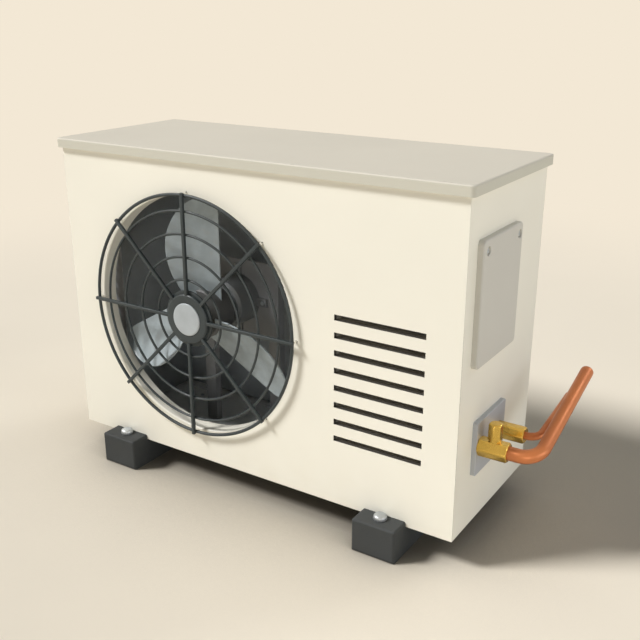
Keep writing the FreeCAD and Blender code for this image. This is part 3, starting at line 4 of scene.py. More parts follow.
import bmesh
import bpy
import numpy as np
from bpy.props import FloatProperty, FloatVectorProperty, IntProperty, PointerProperty
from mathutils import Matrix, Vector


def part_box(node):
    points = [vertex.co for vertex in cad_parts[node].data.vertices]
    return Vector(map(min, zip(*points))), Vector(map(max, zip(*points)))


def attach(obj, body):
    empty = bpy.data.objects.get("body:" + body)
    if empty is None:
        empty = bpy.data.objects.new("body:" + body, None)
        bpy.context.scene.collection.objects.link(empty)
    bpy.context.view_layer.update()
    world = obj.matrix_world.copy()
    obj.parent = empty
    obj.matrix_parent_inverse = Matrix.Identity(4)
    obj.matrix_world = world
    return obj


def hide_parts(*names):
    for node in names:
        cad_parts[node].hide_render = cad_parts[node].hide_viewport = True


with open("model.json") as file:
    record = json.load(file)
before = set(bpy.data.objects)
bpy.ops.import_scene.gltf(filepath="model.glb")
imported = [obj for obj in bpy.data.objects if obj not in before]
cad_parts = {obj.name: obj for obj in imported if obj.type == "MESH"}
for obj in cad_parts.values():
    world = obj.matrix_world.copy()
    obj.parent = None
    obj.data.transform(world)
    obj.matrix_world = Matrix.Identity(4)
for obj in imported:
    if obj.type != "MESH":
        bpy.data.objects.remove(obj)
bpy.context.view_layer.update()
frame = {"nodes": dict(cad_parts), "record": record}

bl_info = {
    "name": "Air Conditioner Outdoor Unit",
    "version": (1, 0, 0),
    "blender": (4, 5, 0),
    "location": "3D View > Sidebar > Outdoor Unit",
    "description": "Dresses the solids of an outdoor unit with guard, blades, fittings and paint",
    "category": "Object",
}

MM = 0.001

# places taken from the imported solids, in metres

panel_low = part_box("front_panel")[0]
pan_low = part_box("base_pan")[0]
guard_low, guard_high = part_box("fan_guard")
guard_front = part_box("guard_hub")[0].y
cover_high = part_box("top_cover")[1]
plate_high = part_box("valve_plate")[1]
gas_low, gas_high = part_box("gas_flare_nut")
liquid_low, liquid_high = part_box("liquid_flare_nut")
stem_low, stem_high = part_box("gas_valve_cap")

fan_centre = np.array([(guard_low.x + guard_high.x) / 2, 0.0, (guard_low.z + guard_high.z) / 2])
# the level that guard, blades and slots are set out from, just before the panel
panel_face = panel_low.y - 0.3 * MM


# sizes and colours


def paint(*steps):
    """Linear colour of a paint given as three of the usual 0 to 255 steps."""
    steps = np.array(steps) / 255
    curve = ((steps + 0.055) / 1.055) ** 2.4
    return tuple(np.where(steps <= 0.04045, steps / 12.92, curve).tolist())


def opaque(base, tone=1.0):
    """A colour times a tone, no lighter than white, as the four numbers of a socket."""
    return (*np.minimum(np.array(base) * tone, 1.0).tolist(), 1.0)


def length(name, note, value):
    return FloatProperty(name=name, description=note, default=value * MM, min=0.0, precision=5,
                         subtype="DISTANCE", unit="LENGTH")


def colour(name, note, *steps):
    return FloatVectorProperty(name=name, description=note, default=paint(*steps), size=3, min=0.0,
                               max=1.0, subtype="COLOR")


class OutdoorUnitSizes(bpy.types.PropertyGroup):
    wire: length("Guard wire", "Thickness of the round wire of the guard's rings", 4.5)
    rim_wire: length("Rim wire", "Thickness of the wire of the guard's largest ring", 5.8)
    first_ring: length("First ring", "Radius of the guard's smallest ring", 70)
    ring_step: length("Ring step", "Distance from one ring to the next", 40)
    outer_ring: length("Outer ring", "Radius of the guard's largest ring", 217.5)
    spoke_width: length("Spoke width", "Width of a spoke's flat bar", 6)
    spoke_count: IntProperty(name="Spokes", description="Number of the guard's spokes", default=8,
                             min=3)
    leg: length("Leg", "Radius of the pins that hold the guard off the panel", 1.7)
    leg_circle: length("Leg circle", "Radius of the circle that the pins stand on", 218.5)
    disc: length("Guard disc", "Radius of the disc in the middle of the guard", 45)
    cap: length("Cap", "Radius of the pale cap on the disc", 29.5)
    blade_thick: length("Blade thickness", "Thickness of a fan blade", 3.3)
    blade_end: length("Blade end", "Distance from the fan's axis to the end of a blade", 205)
    hub: length("Fan hub", "Radius of the hub that carries the blades", 45)
    bolt_head: length("Bolt head", "Radius of the domed bolts on the foot bars", 11.5)
    gas_hex: length("Large fitting", "Radius over the large brass fitting's corners", 16.4)
    liquid_hex: length("Small fitting", "Radius over the small brass fitting's corners", 14.2)
    stem_hex: length("Valve cap", "Radius over the corners of the valve's cap", 11.5)
    gas_line: length("Large stub", "Radius of the large copper stub", 11.1)
    liquid_line: length("Small stub", "Radius of the small copper stub", 6.35)
    cover_screw: length("Cover screw", "Radius of the screws of the service cover", 5)
    screw_seat: length("Screw seat", "Radius of the seats that the cover's screws sit in", 7.2)
    cover_edge: length("Cover edge", "Radius of the service cover's soft edge", 3.0)
    cover_corner: length("Cover corner", "Radius of the service cover's corners", 8)


class OutdoorUnitColours(bpy.types.PropertyGroup):
    body: colour("Casing", "Cream powder paint of the casing", 246, 242, 228)
    cover: colour("Top cover", "Beige paint of the top cover", 214, 208, 194)
    service: colour("Service cover", "Grey-beige paint of the service cover", 207, 204, 195)
    plate: colour("Valve plate", "Blue-grey paint of the valve plate", 182, 185, 190)
    inside: colour("Inside", "Pale grey primer on the sheets inside the casing", 214, 216, 216)
    pan: colour("Base pan", "Pale grey primer inside the base pan", 232, 234, 234)
    # painted shade: a dark coat on the casing's inner faces and under the pan, where only shade
    # falls
    painted_shade_coat: colour("Underside", "Dark coat under the pan and in the casing", 58, 58, 56)
    bracket: colour("Bracket", "Grey paint of the motor's bracket", 142, 143, 144)
    foot: colour("Foot bar", "Black-grey rubber of the foot bars", 66, 68, 68)
    guard: colour("Guard", "Dark grey paint of the guard", 60, 66, 67)
    blade: colour("Blade", "Light grey plastic of the fan blades", 163, 173, 177)
    cap: colour("Cap", "Pale plastic of the guard's cap", 174, 180, 183)
    baffle: colour("Baffle", "Grey-brown sheet behind the outlet slots", 130, 126, 116)
    # painted shade: dark colour on the slot walls, where only shade falls
    slot: colour("Slot", "Dark paint on the walls of the outlet slots", 70, 66, 60)
    # painted light: paler colour deep in the slots that lifts their unlit walls
    deep_slot_painted_light: colour("Deep slot", "Paler paint deep in the outlet slots", 182, 177, 165)
    dark_plastic: colour("Dark plastic", "Plastic of the fan hub and the covers inside", 96, 96, 95)
    motor: colour("Motor", "Paint of the motor, the compressor and the suction tank", 124, 127, 128)
    fins: colour("Fins", "Grey coating of the coil's fins", 182, 188, 191)
    zinc: colour("Zinc", "Zinc plate of the bolts and screws", 186, 191, 195)
    galvanised: colour("Galvanised sheet", "Bare sheet of the brackets inside", 150, 152, 152)
    copper: colour("Copper", "Drawn copper tube", 201, 123, 74)
    brass: colour("Brass", "Forged and turned brass of the valves", 210, 174, 86)
    board: colour("Circuit board", "Lacquer of the circuit board", 44, 100, 62)
    can: colour("Capacitor can", "Drawn aluminium of the capacitor", 200, 202, 204)
    floor: colour("Floor", "Pale floor under the unit", 242, 232, 214)
    backdrop: colour("Backdrop", "Cream background behind the floor", 243, 232, 213)


def sizes():
    return bpy.context.scene.outdoor_unit_sizes


def colours():
    return bpy.context.scene.outdoor_unit_colours


# surfaces


def grid_faces(rows, columns, first=0, loop=False):
    """Quads of a grid of points numbered row by row; the columns always close into a ring, and
    the rows close too where loop is set."""
    r, c = np.meshgrid(np.arange(rows if loop else rows - 1), np.arange(columns), indexing="ij")
    r2, c2 = (r + 1) % rows, (c + 1) % columns
    corners = [r * columns + c, r * columns + c2, r2 * columns + c2, r2 * columns + c]
    return np.stack(corners, -1).reshape(-1, 4) + first


class Shell:
    """Closed skins gathered into one mesh. A skin is a grid of points: each row is a ring round the
    piece, and the first and last rows are closed by a pole at their middle, or joined in a loop."""

    def __init__(self):
        self.points, self.quads, self.fans, self.count = [], [], [], 0

    def skin(self, points, loop=False):
        rows, columns = points.shape[:2]
        self.quads.append(grid_faces(rows, columns, self.count, loop))
        self.points.append(points.reshape(-1, 3))
        last = self.count + (rows - 1) * columns
        self.count += rows * columns
        if not loop:
            around = np.arange(columns)
            onward = (around + 1) % columns
            for start, ring in ((self.count - rows * columns, points[0]), (last, points[-1])):
                self.points.append(ring.mean(0)[None])
                pole = np.full(columns, self.count)
                self.fans.append(np.stack([start + around, start + onward, pole], -1))
                self.count += 1

    def copies(self, points, turns):
        """The same skin at several turns about the fan's axis, each a 3 by 3 matrix."""
        for turn in turns:
            self.skin((points - fan_centre) @ turn.T + fan_centre)

    def mesh(self, name):
        data = bpy.data.meshes.new(name)
        faces = np.concatenate(self.quads).tolist()
        if self.fans:
            faces += np.concatenate(self.fans).tolist()
        data.from_pydata(np.concatenate(self.points).tolist(), [], faces)
        work = bmesh.new()
        work.from_mesh(data)
        bmesh.ops.recalc_face_normals(work, faces=work.faces)
        work.to_mesh(data)
        work.free()
        return data


def add(name, data):
    """A new object of that name and data, in the scene."""
    made = bpy.data.objects.new(name, data)
    bpy.context.scene.collection.objects.link(made)
    return made


def place_piece(name, shell, slot, replaced, body="casing", crease=35):
    """Puts a shell into the scene as a smooth-shaded piece with creases, riding on its body."""
    data = shell.mesh(name)
    data.shade_smooth()
    data.set_sharp_from_angle(angle=math.radians(crease))
    data.materials.append(finish(slot))
    piece = add(name, data)
    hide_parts(*replaced)
    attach(piece, body)
    return piece


def soft_profile(corners, softness, steps=5):
    """A profile with each corner rounded by a parabola: (1-t)^2 a + 2t(1-t) p + t^2 b, where p is
    the corner and a and b lie at the softness from it towards its neighbours. The ends stay."""
    p = np.asarray(corners, float)
    inner, before, after = p[1:-1], p[:-2] - p[1:-1], p[2:] - p[1:-1]
    width = np.broadcast_to(softness, len(inner))[:, None]
    reach = [np.linalg.norm(side, axis=1, keepdims=True) for side in (before, after)]
    a = inner + before / reach[0] * np.minimum(width, reach[0] * 0.49)
    b = inner + after / reach[1] * np.minimum(width, reach[1] * 0.49)
    t = np.linspace(0, 1, steps)[None, :, None]
    curve = (1 - t) ** 2 * a[:, None] + 2 * t * (1 - t) * inner[:, None] + t ** 2 * b[:, None]
    return np.concatenate([p[:1], curve.reshape(-1, 2), p[-1:]])


def circle(count):
    """Equally spread angles over one turn."""
    return np.linspace(0, 2 * math.pi, count, endpoint=False)


def rings(reach, heights, angle, middle, axis):
    """Rings about a row axis: middle + height along the axis + reach (cos a, sin a) across it."""
    across, up = [i for i in range(3) if i != axis]
    points = np.zeros((len(heights), len(angle), 3))
    points[..., across] = reach * np.cos(angle)
    points[..., up] = reach * np.sin(angle)
    points[..., axis] = heights[:, None]
    return points + np.asarray(middle)


def turned(profile, middle, axis, around=96):
    """A profile of radius and height turned about a row axis."""
    radius, height = np.asarray(profile, float).T
    return rings(radius[:, None], height, circle(around), middle, axis)


def spread(count):
    """Turns about the fan's axis, equally spread over the circle."""
    c, s = np.cos(circle(count)), np.sin(circle(count))
    zero, one = np.zeros(count), np.ones(count)
    return np.stack([c, zero, s, zero, one, zero, -s, zero, c], -1).reshape(count, 3, 3)


def hexagonal(stations, radius, middle, axis, lean, around=72, soft=0.985):
    """A hexagonal bar along a row axis. Each station is a height and a turned radius. The bar's
    reach there is the smallest of three: that radius, the hexagon's outline, which is its flat's
    distance over cos of the angle from the flat's middle, and a circle that trims the corners."""
    angle = circle(around)
    from_flat = (angle + math.pi / 6) % (math.pi / 3) - math.pi / 6
    flat = radius * math.cos(math.pi / 6)
    outline = np.minimum(flat / np.cos(from_flat), radius * soft)
    height, limit = np.asarray(stations, float).T
    return rings(np.minimum(outline, limit[:, None]), height, angle + lean, middle, axis)


def bent_line(distance, straight, bend):
    """Points and directions of an L-shaped line in its own plane: a straight stretch, a quarter
    circle of the bend's radius whose angle is distance over radius, and a straight rise."""
    angle = np.clip((distance - straight) / bend, 0, math.pi / 2)
    over = np.maximum(distance - straight - bend * math.pi / 2, 0)
    x = np.minimum(distance, straight) + bend * np.sin(angle)
    y = bend * (1 - np.cos(angle)) + over
    return np.stack([x, y], -1), np.stack([np.cos(angle), np.sin(angle)], -1)


# finishes

# sockets of the colour mix node, which has a set for every kind of data
SHARE, COLOUR_A, COLOUR_B, MIXED = 0, 6, 7, 2


class Nodes:
    """Short ways to add nodes to a tree and to fill or join their sockets."""

    def __init__(self, tree):
        self.tree = tree

    def give(self, node, socket, value):
        socket = node.inputs[socket]
        if isinstance(value, bpy.types.NodeSocket):
            self.tree.links.new(value, socket)
        else:
            socket.default_value = value

    def step(self, kind, sockets, output=0, **settings):
        """Adds a node with its settings and sockets, and gives back one of its outputs."""
        made = self.tree.nodes.new(kind)
        for key, value in settings.items():
            setattr(made, key, value)
        for socket, value in sockets.items():
            self.give(made, socket, value)
        return made.outputs[output]

    def calc(self, operation, *values):
        return self.step("ShaderNodeMath", dict(enumerate(values)), "Value", operation=operation)

    def product(self, first, *others):
        for value in others:
            first = self.calc("MULTIPLY", first, value)
        return first

    def any_ray(self, *kinds):
        """1 for rays of one of these kinds."""
        rays = self.tree.nodes.new("ShaderNodeLightPath").outputs
        found = rays[kinds[0]]
        for kind in kinds[1:]:
            found = self.calc("MAXIMUM", found, rays[kind])
        return found

    def surface(self, output, share, first, second):
        """Sends a blend of two shaders to the tree's output node."""
        blend = self.step("ShaderNodeMixShader", {0: share, 1: first, 2: second})
        self.give(output, "Surface", blend)


class Finish(Nodes):
    """A finish in the making: each method adds one step and gives back what comes out of it."""

    def __init__(self, name, base, roughness, metallic=0.0, **sockets):
        self.material = bpy.data.materials.new(name)
        self.material.use_nodes = True
        super().__init__(self.material.node_tree)
        self.shader = self.tree.nodes["Principled BSDF"]
        self.place = self.step("ShaderNodeTexCoord", {}, "Object")
        self.base = opaque(base)
        self.material.diffuse_color = self.base
        sockets.update(Base_Color=self.base, Roughness=roughness, Metallic=metallic)
        for socket, value in sockets.items():
            self.give(self.shader, socket.replace("_", " "), value)
        self.dent = None

    def noise(self, scale, detail=3.0, rough=0.5, stretch=None):
        place = self.place
        if stretch:
            place = self.step("ShaderNodeMapping", {"Vector": place, "Scale": stretch}, "Vector")
        return self.step("ShaderNodeTexNoise", {"Vector": place, "Scale": scale, "Detail": detail,
                                                "Roughness": rough}, "Fac")

    def spots(self, scale):
        return self.step("ShaderNodeTexVoronoi", {"Vector": self.place, "Scale": scale}, "Distance")

    def remap(self, value, low, high, start=0.0, end=1.0):
        return self.step("ShaderNodeMapRange", {"Value": value, "From Min": low, "From Max": high,
                                                "To Min": start, "To Max": end}, "Result",
                         interpolation_type="SMOOTHSTEP")

    def vector(self, operation, *values, output="Value"):
        return self.step("ShaderNodeVectorMath", dict(enumerate(values)), output,
                         operation=operation)

    def mixed(self, share, first, second):
        return self.step("ShaderNodeMix", {SHARE: share, COLOUR_A: first, COLOUR_B: second}, MIXED,
                         data_type="RGBA")

    def along(self, axis):
        return self.step("ShaderNodeSeparateXYZ", {"Vector": self.place}, axis)

    def edge(self, radius=1.2 * MM):
        """1 where the normal of a rounded edge leaves the face's own."""
        soft = self.step("ShaderNodeBevel", {"Radius": radius}, "Normal", samples=4)
        flat = self.step("ShaderNodeNewGeometry", {}, "Normal")
        return self.remap(self.vector("DOT_PRODUCT", soft, flat), 0.985, 0.80)

    def worn_edge(self, radius=1.2 * MM, wear=0.5):
        """1 on an edge where a patchy noise agrees."""
        patch = self.remap(self.noise(70, 4), 0.58 - wear * 0.1, 0.66)
        return self.product(self.edge(radius), patch)

    def shade(self, detail, scale, dark=0.9, light=1.06):
        """Base colour that drifts between a darker and a lighter tone of itself."""
        drift = self.remap(self.noise(scale, detail), 0.3, 0.7)
        return self.mixed(drift, opaque(self.base[:3], dark), opaque(self.base[:3], light))

    def bump(self, height, strength, depth):
        sockets = {"Height": height, "Strength": strength, "Distance": depth}
        if self.dent:
            sockets["Normal"] = self.dent
        self.dent = self.step("ShaderNodeBump", sockets, "Normal")
        self.give(self.shader, "Normal", self.dent)

    def cover(self, tone):
        self.give(self.shader, "Base Color", tone)

    def rough(self, value, low, high, start=0.3, end=0.7):
        """Roughness from low to high while the value goes from start to end."""
        self.give(self.shader, "Roughness", self.remap(value, start, end, low, high))


finishes = {}


def finish(name):
    """The finish of that name, mixed the first time that a piece asks for it."""
    if name not in finishes:
        finishes[name] = FINISH_MAKERS[name](colours()).material
    return finishes[name]


# tones of a paint under dust and at a chip, as shares of its own colour
DUSTY, CHIPPED = (0.86, 0.82, 0.74), (0.70, 0.69, 0.68)


def powder_paint(name, base, roughness=0.46, painted_shade_area=None, primer=None, thin=0.8, touch=None):
    """Powder paint on sheet: fine orange peel, slow drift of tone and gloss, a little dust low on
    the casing, painted shade that darkens the rounded edges, chips on the edges, and a dark coat of
    painted shade over the given area, where only shade falls. A last touch can paint shade or light
    into the tone in places."""
    skin = Finish(name, base, roughness)
    tone = skin.shade(3.0, 3.2, 0.975, 1.02)
    grime = skin.product(skin.remap(skin.along("Z"), 160 * MM, 50 * MM),
                         skin.remap(skin.noise(14, 4), 0.35, 0.75, 0.0, 0.22))
    tone = skin.mixed(grime, tone, opaque(base, DUSTY))
    # painted shade: the rounded edges take the darker thin tone, which tames their highlight
    tone = skin.mixed(skin.product(skin.edge(), 0.8), tone, opaque(base, thin))
    tone = skin.mixed(skin.worn_edge(), tone, opaque(base, CHIPPED))
    # painted shade: a dark coat over the given area, where only shade falls; the primer here is
    # that coat
    if painted_shade_area:
        tone = skin.mixed(painted_shade_area(skin), tone, opaque(primer or colours().inside))
    if touch:
        tone = touch(skin, tone, base)
    skin.cover(tone)
    skin.rough(skin.noise(6, 3), roughness - 0.05, roughness + 0.06)
    skin.bump(skin.noise(520, 2.0), 0.10, 0.0004)
    skin.bump(skin.noise(38, 2.0), 0.05, 0.002)
    return skin


def inside_casing(skin):
    """1 inside the box of the casing's sheets: each of x, y and z is further in than the middle of
    its sheet. These inner faces take the dark coat of painted shade."""
    return skin.product(*[
        skin.remap(skin.calc("ABSOLUTE", skin.along(axis)), face - 0.88 * MM, face - 0.94 * MM)
        for axis, face in zip("XYZ", (-panel_low.x, -panel_low.y, cover_high.z))])


def inside_front(skin):
    """The same, but the fan's collar keeps its paint: there the distance from the fan's axis is
    under the collar's radius."""
    collar = 216.5 * MM
    flat = skin.vector("MULTIPLY", skin.place, (1.0, 0.0, 1.0), output="Vector")
    from_axis = skin.vector("DISTANCE", flat, fan_centre.tolist())
    return skin.product(inside_casing(skin),
                        skin.remap(from_axis, collar - 0.1 * MM, collar + 0.1 * MM))


def painted_slot_shade_and_light(skin, tone, base):
    """Painted shade on the walls of the outlet slots behind their lips, where hardly any light
    comes, and painted light that makes them paler with depth. The slots' left ends keep the
    casing's paint for half of their depth."""
    low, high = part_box("louvre_baffle")
    left_end = low.x + 12.2 * MM
    lip, pale_from, pale_to = (panel_face + depth * MM for depth in (1.4, 4, 12))
    x, y, z = (skin.along(axis) for axis in "XYZ")
    area = skin.product(skin.remap(x, low.x - 1 * MM, low.x),
                        skin.remap(z, high.z + 1 * MM, high.z),
                        skin.remap(z, low.z - 1 * MM, low.z))
    # painted light: deeper in the slots the dark colour gives way to a paler one
    painted_light_share = skin.remap(y, pale_from, pale_to)
    dark = skin.mixed(painted_light_share, opaque(colours().slot), opaque(colours().deep_slot_painted_light))
    kept = skin.product(skin.remap(x, left_end + 0.1 * MM, left_end),
                        skin.remap(y, panel_face + 11 * MM, panel_face + 9 * MM))
    tone = skin.mixed(skin.product(area, skin.remap(y, lip, lip + 0.1 * MM)), tone, dark)
    return skin.mixed(skin.product(area, kept), tone, opaque(base))


def painted_cover_rim_shade(skin, tone, base):
    """Painted shade: a slightly darker, greener tone on the cover's folded rim."""
    rim = skin.remap(skin.along("Z"), cover_high.z - 1.5 * MM, cover_high.z - 2.5 * MM, 0.0, 0.8)
    return skin.mixed(rim, tone, opaque(base, (0.905, 0.94, 0.93)))


def under_pan(skin):
    """1 under the middle of the pan's sheet, where the dark coat of painted shade goes."""
    return skin.remap(skin.along("Z"), pan_low.z + 0.6 * MM, pan_low.z + 0.4 * MM)


def pan_paint(c):
    # painted shade: a dark coat under the pan, where only shade falls
    skin = powder_paint("base_pan_paint", c.pan, 0.6, under_pan, c.painted_shade_coat)
    skin.bump(skin.noise(90, 3), 0.12, 0.001)
    return skin


def foot_rubber(c):
    """Moulded rubber: fine grain, mould bloom as paler blotches, scuffed pale edges."""
    skin = Finish("foot_rubber", c.foot, 0.76, Specular_IOR_Level=0.2)
    bloom = skin.remap(skin.noise(22, 5, 0.6), 0.45, 0.75, 0.0, 0.35)
    tone = skin.mixed(bloom, skin.shade(3, 9, 0.88, 1.08), opaque(paint(80, 80, 76)))
    skin.cover(skin.mixed(skin.worn_edge(1.5 * MM, 0.8), tone, opaque(paint(92, 91, 87))))
    skin.rough(bloom, 0.66, 0.82, 0.0, 0.35)
    skin.bump(skin.noise(900, 2), 0.25, 0.0003)
    skin.bump(skin.spots(260), 0.10, 0.0005)
    return skin


def guard_paint(c):
    """Dip-coated wire: satin grey coat over metal, with small sags and a rubbed crest. The feet of
    its pins, behind the rings, have the casing's colour."""
    skin = Finish("guard_coat", c.guard, 0.42, Specular_IOR_Level=0.3)
    tone = skin.mixed(skin.worn_edge(0.8 * MM, 0.5), skin.shade(3, 18, 0.92, 1.08),
                      opaque(paint(104, 105, 102)))
    feet = skin.remap(skin.along("Y"), panel_face - 6.3 * MM, panel_face - 5.9 * MM)
    skin.cover(skin.mixed(feet, tone, opaque(c.body)))
    skin.rough(skin.noise(40, 3), 0.32, 0.46)
    skin.bump(skin.noise(260, 2), 0.12, 0.0004)
    return skin


def blade_plastic(c):
    """Moulded plastic: satin skin, flow marks that run outwards, a thin film of dust."""
    skin = Finish("blade_plastic", c.blade, 0.42, Specular_IOR_Level=0.45)
    flow = skin.noise(6, 4, 0.55, (9.0, 1.0, 9.0))
    tone = skin.mixed(skin.remap(flow, 0.35, 0.7), opaque(c.blade, 0.90), opaque(c.blade, 1.06))
    dust = skin.remap(skin.noise(60, 5, 0.65), 0.52, 0.72, 0.0, 0.25)
    skin.cover(skin.mixed(dust, tone, opaque(paint(168, 166, 158))))
    skin.rough(flow, 0.36, 0.5)
    skin.bump(flow, 0.08, 0.001)
    skin.bump(skin.noise(700, 2), 0.12, 0.0002)
    return skin


def moulded_plastic(name, base, roughness=0.5):
    """Sparked plastic: even fine grain with faint cloudiness and softly rubbed edges."""
    skin = Finish(name, base, roughness)
    rubbed = opaque(np.array(base) * 1.5 + 0.02)
    skin.cover(skin.mixed(skin.worn_edge(0.8 * MM, 0.4), skin.shade(3, 24, 0.92, 1.06), rubbed))
    skin.rough(skin.noise(30, 3), roughness - 0.06, roughness + 0.08)
    skin.bump(skin.noise(1100, 2), 0.2, 0.0002)
    return skin


def motor_paint(c):
    """Satin enamel on castings, with casting grain under it and dust on top."""
    skin = Finish("motor_enamel", c.motor, 0.5, Coat_Weight=0.1, Coat_Roughness=0.4)
    dust = skin.remap(skin.noise(20, 5, 0.6), 0.5, 0.75, 0.0, 0.3)
    skin.cover(skin.mixed(dust, skin.shade(3, 12), opaque(paint(150, 148, 142))))
    skin.rough(dust, 0.45, 0.7, 0.0, 0.3)
    skin.bump(skin.noise(300, 3), 0.25, 0.0006)
    return skin


def fin_coating(c):
    """Coated fins: thin upright plates, a pitch apart, with bent and dusty patches, as stripes that
    run with x and y, so that both faces of the coil and its bend show them. The dark stripes are
    painted shade in the gaps between the fins."""
    pitch = 1.8 * MM
    skin = Finish("fin_coating", c.fins, 0.62)
    run = skin.calc("ADD", skin.along("X"), skin.along("Y"))
    wobble = skin.product(skin.noise(26, 3), 1.2 * MM)
    stripe = skin.calc("SINE", skin.product(skin.calc("ADD", run, wobble), 2 * math.pi / pitch))
    fin_gaps_and_shade = skin.remap(stripe, -0.4, 0.7)
    # painted shade: the stripes darken in the gaps between the fins
    tone = skin.mixed(fin_gaps_and_shade, opaque(c.fins, 0.55), opaque(c.fins, 1.15))
    dust = skin.remap(skin.noise(16, 5, 0.6), 0.5, 0.72, 0.0, 0.3)
    skin.cover(skin.mixed(dust, tone, opaque(paint(160, 157, 148))))
    skin.bump(fin_gaps_and_shade, 0.6, 0.001)
    return skin


def plated_metal(name, base, roughness, spangle=0.0, brushed=False):
    """Plated or bare metal: blotches of gloss, fine scratches, and crystals where it was dipped."""
    skin = Finish(name, base, roughness, 0.9)
    scratch = skin.noise(300, 3, 0.6, (1.0, 14.0, 1.0) if brushed else (6.0, 6.0, 1.0))
    patch = skin.noise(24, 4)
    if spangle:
        patch = skin.calc("ADD", skin.product(skin.spots(180), spangle), skin.product(patch, 0.6))
    skin.cover(skin.mixed(skin.remap(patch, 0.25, 0.75), opaque(base, 0.82), opaque(base, 1.1)))
    skin.rough(scratch, roughness - 0.08, roughness + 0.12)
    skin.bump(scratch, 0.08, 0.0002)
    return skin


def copper_tube(c):
    """Drawn copper: draw marks along the tube, slow tarnish and a few browner handling spots."""
    skin = Finish("drawn_copper", c.copper, 0.42, 0.5)
    marks = skin.noise(240, 3, 0.6, (1.0, 0.12, 0.12))
    tarnish = skin.remap(skin.noise(16, 5, 0.6), 0.42, 0.75, 0.0, 0.45)
    tone = skin.mixed(tarnish, skin.shade(3, 30, 0.95, 1.05), opaque(paint(186, 112, 74)))
    spot = skin.remap(skin.noise(90, 4, 0.6), 0.66, 0.74, 0.0, 0.35)
    skin.cover(skin.mixed(spot, tone, opaque(paint(160, 98, 68))))
    skin.rough(tarnish, 0.36, 0.5, 0.0, 0.45)
    skin.bump(marks, 0.10, 0.0003)
    return skin


def valve_brass(c):
    """Forged and turned brass: fine turning rings across the fitting, tarnish in the low places
    and bright rubbed corners."""
    skin = Finish("valve_brass", c.brass, 0.3, 0.9)
    rings = skin.noise(1500, 2, 0.5, (1.0, 0.06, 0.06))
    tarnish = skin.remap(skin.noise(60, 4, 0.5), 0.48, 0.75, 0.0, 0.3)
    tone = skin.mixed(tarnish, skin.shade(3, 40, 0.96, 1.04), opaque(paint(184, 146, 66)))
    skin.cover(skin.mixed(skin.worn_edge(0.9 * MM, 0.9), tone, opaque(paint(236, 204, 116))))
    skin.rough(tarnish, 0.24, 0.42, 0.0, 0.5)
    skin.bump(rings, 0.10, 0.0002)
    return skin


def board_lacquer(c):
    skin = moulded_plastic("board_lacquer", c.board, 0.3)
    skin.bump(skin.spots(320), 0.3, 0.0006)
    return skin


# the finish of each material slot, and of the nodes that have one of their own
FINISH_MAKERS = {
    # the casing's sheets and the front panel take a dark coat of painted shade on their inner faces
    "cream_paint": lambda c: powder_paint("cream_casing_paint", c.body, painted_shade_area=inside_casing,
                                          primer=c.painted_shade_coat),
    # the front panel's slots also take painted shade and painted light
    "front_panel": lambda c: powder_paint("cream_front_paint", c.body, painted_shade_area=inside_front,
                                          primer=c.painted_shade_coat, touch=painted_slot_shade_and_light),
    # the cover's edges and folded rim take painted shade
    "top_cover": lambda c: powder_paint("beige_cover_paint", c.cover, 0.62,
                                        painted_shade_area=inside_casing, thin=0.6, touch=painted_cover_rim_shade),
    "beige_paint": lambda c: powder_paint("service_cover_paint", c.service, 0.52),
    "grey_blue_paint": lambda c: powder_paint("valve_plate_paint", c.plate, 0.42),
    "base_pan": pan_paint,
    "inner_sheet": lambda c: powder_paint("inner_sheet_paint", c.inside, 0.6),
    "motor_bracket": lambda c: powder_paint("bracket_paint", c.bracket, 0.6),
    "black_sheet": lambda c: powder_paint("baffle_paint", c.baffle, 0.7),
    "rubber": foot_rubber,
    "guard_paint": guard_paint,
    "blade_plastic": blade_plastic,
    "cap_plastic": lambda c: moulded_plastic("cap_plastic", c.cap, 0.36),
    "black_plastic": lambda c: moulded_plastic("dark_plastic", c.dark_plastic),
    "motor_paint": motor_paint,
    "fin_aluminium": fin_coating,
    "zinc_steel": lambda c: plated_metal("bolt_zinc", c.zinc, 0.44),
    "galvanised": lambda c: plated_metal("galvanised_sheet", c.galvanised, 0.5, spangle=0.8),
    "can_aluminium": lambda c: plated_metal("can_aluminium", c.can, 0.3, brushed=True),
    "copper": copper_tube,
    "brass": valve_brass,
    "board_green": board_lacquer,
}

# nodes that wear a finish other than their slot's
NODE_FINISH = {
    "partition_plate": "inner_sheet",
    "coil_end_plate_left": "inner_sheet",
    "coil_end_plate_right": "inner_sheet",
    "coil_bends": "fin_aluminium",
}


# operators


class DressSheets(bpy.types.Operator):
    """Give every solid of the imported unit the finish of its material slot"""
    bl_idname = "outdoor_unit.dress_sheets"
    bl_label = "Dress Sheets and Castings"

    def execute(self, context):
        for row in frame["record"]["subparts"]:
            name = row["node"]
            look = name if name in FINISH_MAKERS else row["material_slot"]
            materials = frame["nodes"][name].data.materials
            materials.clear()
            materials.append(finish(NODE_FINISH.get(name, look)))
        return {"FINISHED"}


